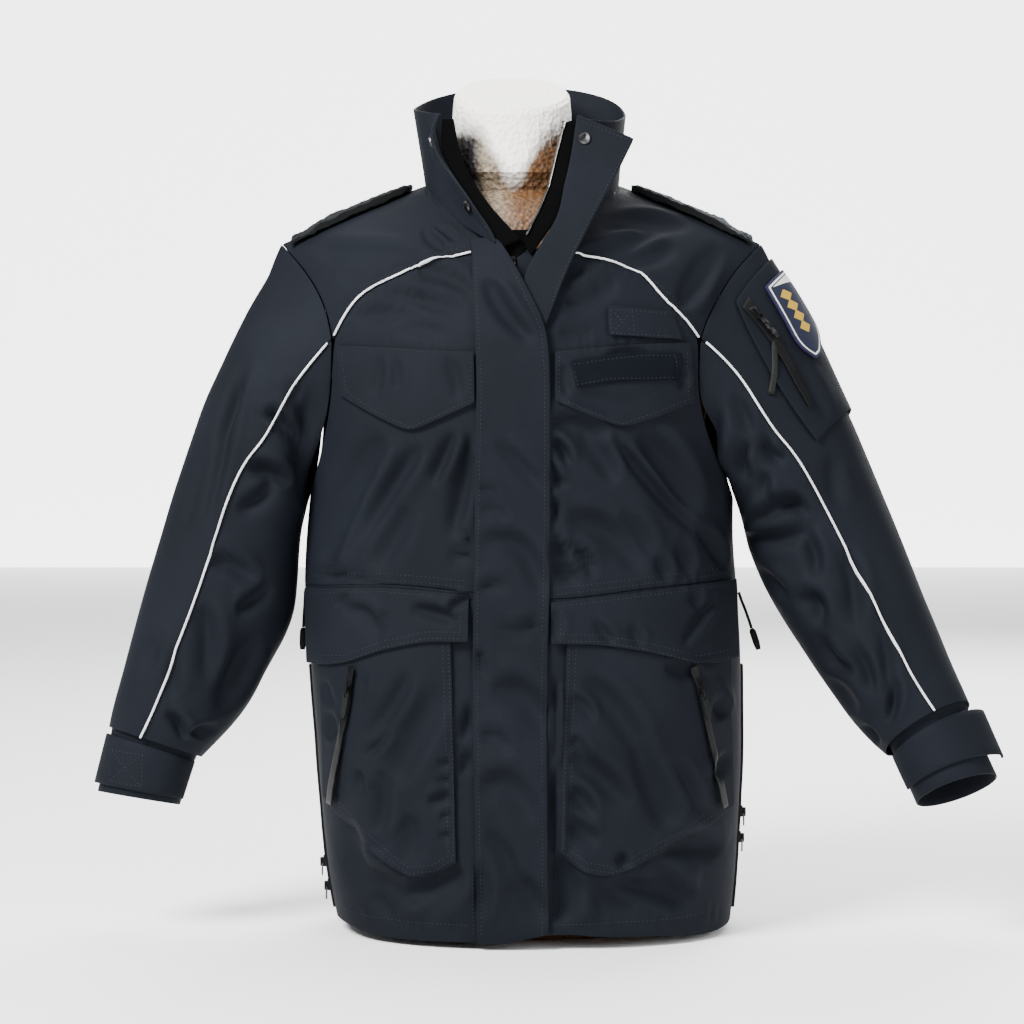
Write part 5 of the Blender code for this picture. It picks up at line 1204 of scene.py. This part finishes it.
def addThroat():
    shape = bmesh.new()
    grid = []
    for i, z in enumerate(throat["z"]):
        row = []
        for k in range(throat["columns"]):
            share = k / (throat["columns"] - 1)
            x = throat["left"][i] + (throat["right"][i] - throat["left"][i]) * share
            y = throat["y"][i] - throat["bulge"] * np.sin(pi * share)
            row.append(shape.verts.new((x * mm, y * mm, z * mm)))
        grid.append(row)
    for upper, lower in zip(grid, grid[1:]):
        for k in range(throat["columns"] - 1):
            shape.faces.new((upper[k], lower[k], lower[k + 1], upper[k + 1]))
    mesh = bpy.data.meshes.new("throat_closing")
    shape.to_mesh(mesh)
    shape.free()
    mesh.materials.append(liningAndShadeCloth)
    piece = bpy.data.objects.new("throat_closing", mesh)
    scene.collection.objects.link(piece)
    wall = piece.modifiers.new("wall", "SOLIDIFY")
    wall.thickness = throat["thick"] * mm
    wall.offset = 0
    finer = piece.modifiers.new("finer", "SUBSURF")
    finer.levels = finer.render_levels = 2
    bpy.context.view_layer.objects.active = piece
    for name in ("wall", "finer"):
        bpy.ops.object.modifier_apply(modifier=name)
    for face in piece.data.polygons:
        face.use_smooth = True
    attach(piece, nodes["collar_facing_left"]["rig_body"])


addThroat()

# The black puller on the sleeve zip's ring, laid down the pocket.
puller = {"top": (244.5, 584), "foot": (241, 532), "sway": 2.5, "wide": 6.0, "thick": 1.7, "off": 1.6,
          "steps": 15, "sides": 12, "neck": 0.45, "tipFrom": 0.55, "tipWide": 1.12, "tipThick": 1.35}


def addPuller():
    shape = bmesh.new()
    (topX, topZ), (footX, footZ) = puller["top"], puller["foot"]
    rows = []
    for i in range(puller["steps"] + 1):
        share = i / puller["steps"]
        x = topX + (footX - topX) * share + puller["sway"] * np.sin(pi * share)
        z = topZ + (footZ - topZ) * share
        hit = outermost.ray_cast((x, -thread["lookFrom"], z), (0, 1, 0))[0]
        rows.append([x, hit.y - puller["off"], z])
    rows = np.array(rows)
    for _ in range(4):
        rows[1:-1] = (rows[:-2] + 2 * rows[1:-1] + rows[2:]) / 4
    rings = []
    for i, (x, y, z) in enumerate(rows):
        share = i / puller["steps"]
        tip = share > puller["tipFrom"]
        shoulder = puller["neck"] + (1 - puller["neck"]) * smoothStep(np.array(share * 6))
        half = puller["wide"] / 2 * shoulder * (puller["tipWide"] if tip else 1)
        deep = puller["thick"] / 2 * (puller["tipThick"] if tip else 1)
        ring = []
        for turn in np.linspace(0, 2 * pi, puller["sides"], endpoint=False):
            corner = (x + half * np.cos(turn), y + deep * np.sin(turn), z)
            ring.append(shape.verts.new([value * mm for value in corner]))
        rings.append(ring)
    for upper, lower in zip(rings, rings[1:]):
        for k in range(puller["sides"]):
            after = (k + 1) % puller["sides"]
            shape.faces.new((upper[k], upper[after], lower[after], lower[k]))
    shape.faces.new(rings[0])
    shape.faces.new(rings[-1])
    placePiece("sleeve_zip_puller", shape, blackRubber, "sleeve_zip_pull")


addPuller()
print("neck closed, puller hung")

# Hard pieces keep their CAD form, and take the material of the start of their name.
hardMaterials = {"pocket_pull": blackRubber, "side_pull": wornMetal, "sleeve_zip_pull": wornMetal,
                 "front_zip_pull": wornMetal, "snap": wornMetal, "cord_end": blackRubber,
                 "dress_form": foamDarkBelow}
for node, item in nodes.items():
    for start, material in hardMaterials.items():
        if node.startswith(start):
            item.data.materials.clear()
            item.data.materials.append(material)
print("hard pieces finished")


studio = {"floor": 7.0, "sky": 0.55, "key": 330.0, "fill": 60.0, "top": 70.0, "back": 120.0, "card": 3.2,
          "cardWidth": 5.0, "cardHeight": 3.0, "cardBehind": 6.0, "lightsAimAt": (0, 0, 0.42)}


def addStudio():
    bpy.ops.mesh.primitive_plane_add(size=studio["floor"] * 2, location=(0, 0, 0))
    floor = bpy.context.object
    floor.name = "studioFloor"
    floor.data.materials.append(newMaterial("paleFloor", (0.94, 0.94, 0.94), 0.8)[0])
    bpy.ops.mesh.primitive_plane_add(size=1, location=(0, 0, 0))
    card = bpy.context.object
    card.name = "whiteCard"
    for vertex in card.data.vertices:
        vertex.co = (vertex.co.x * studio["cardWidth"], studio["cardBehind"],
                     (vertex.co.y + 0.5) * studio["cardHeight"])
    made, tree, shader = newMaterial("litCard", (0.9, 0.9, 0.9), 0.8)
    shader.inputs["Emission Color"].default_value = (1, 1, 1, 1)
    shader.inputs["Emission Strength"].default_value = studio["card"]
    card.data.materials.append(made)
    world = bpy.data.worlds.new("studioSky")
    world.use_nodes = True
    sky = world.node_tree.nodes["Background"]
    sky.inputs["Color"].default_value = (0.94, 0.97, 1, 1)
    sky.inputs["Strength"].default_value = studio["sky"]
    scene.world = world
    lights = {"keyLight": ((-1.7, -1.9, 2.6), 1.2, studio["key"]),
              "fillLight": ((2.1, -2.0, 1.3), 1.6, studio["fill"]),
              "backLight": ((1.2, 2.6, 1.9), 1.6, studio["back"]),
              "topLight": ((0.2, 0.9, 2.6), 1.6, studio["top"])}
    for name, (place, size, power) in lights.items():
        data = bpy.data.lights.new(name, "AREA")
        data.energy = power
        data.size = size
        light = bpy.data.objects.new(name, data)
        scene.collection.objects.link(light)
        light.location = place
        look = Vector(studio["lightsAimAt"]) - Vector(place)
        light.rotation_euler = look.to_track_quat("-Z", "Y").to_euler()


addStudio()
print("studio set")
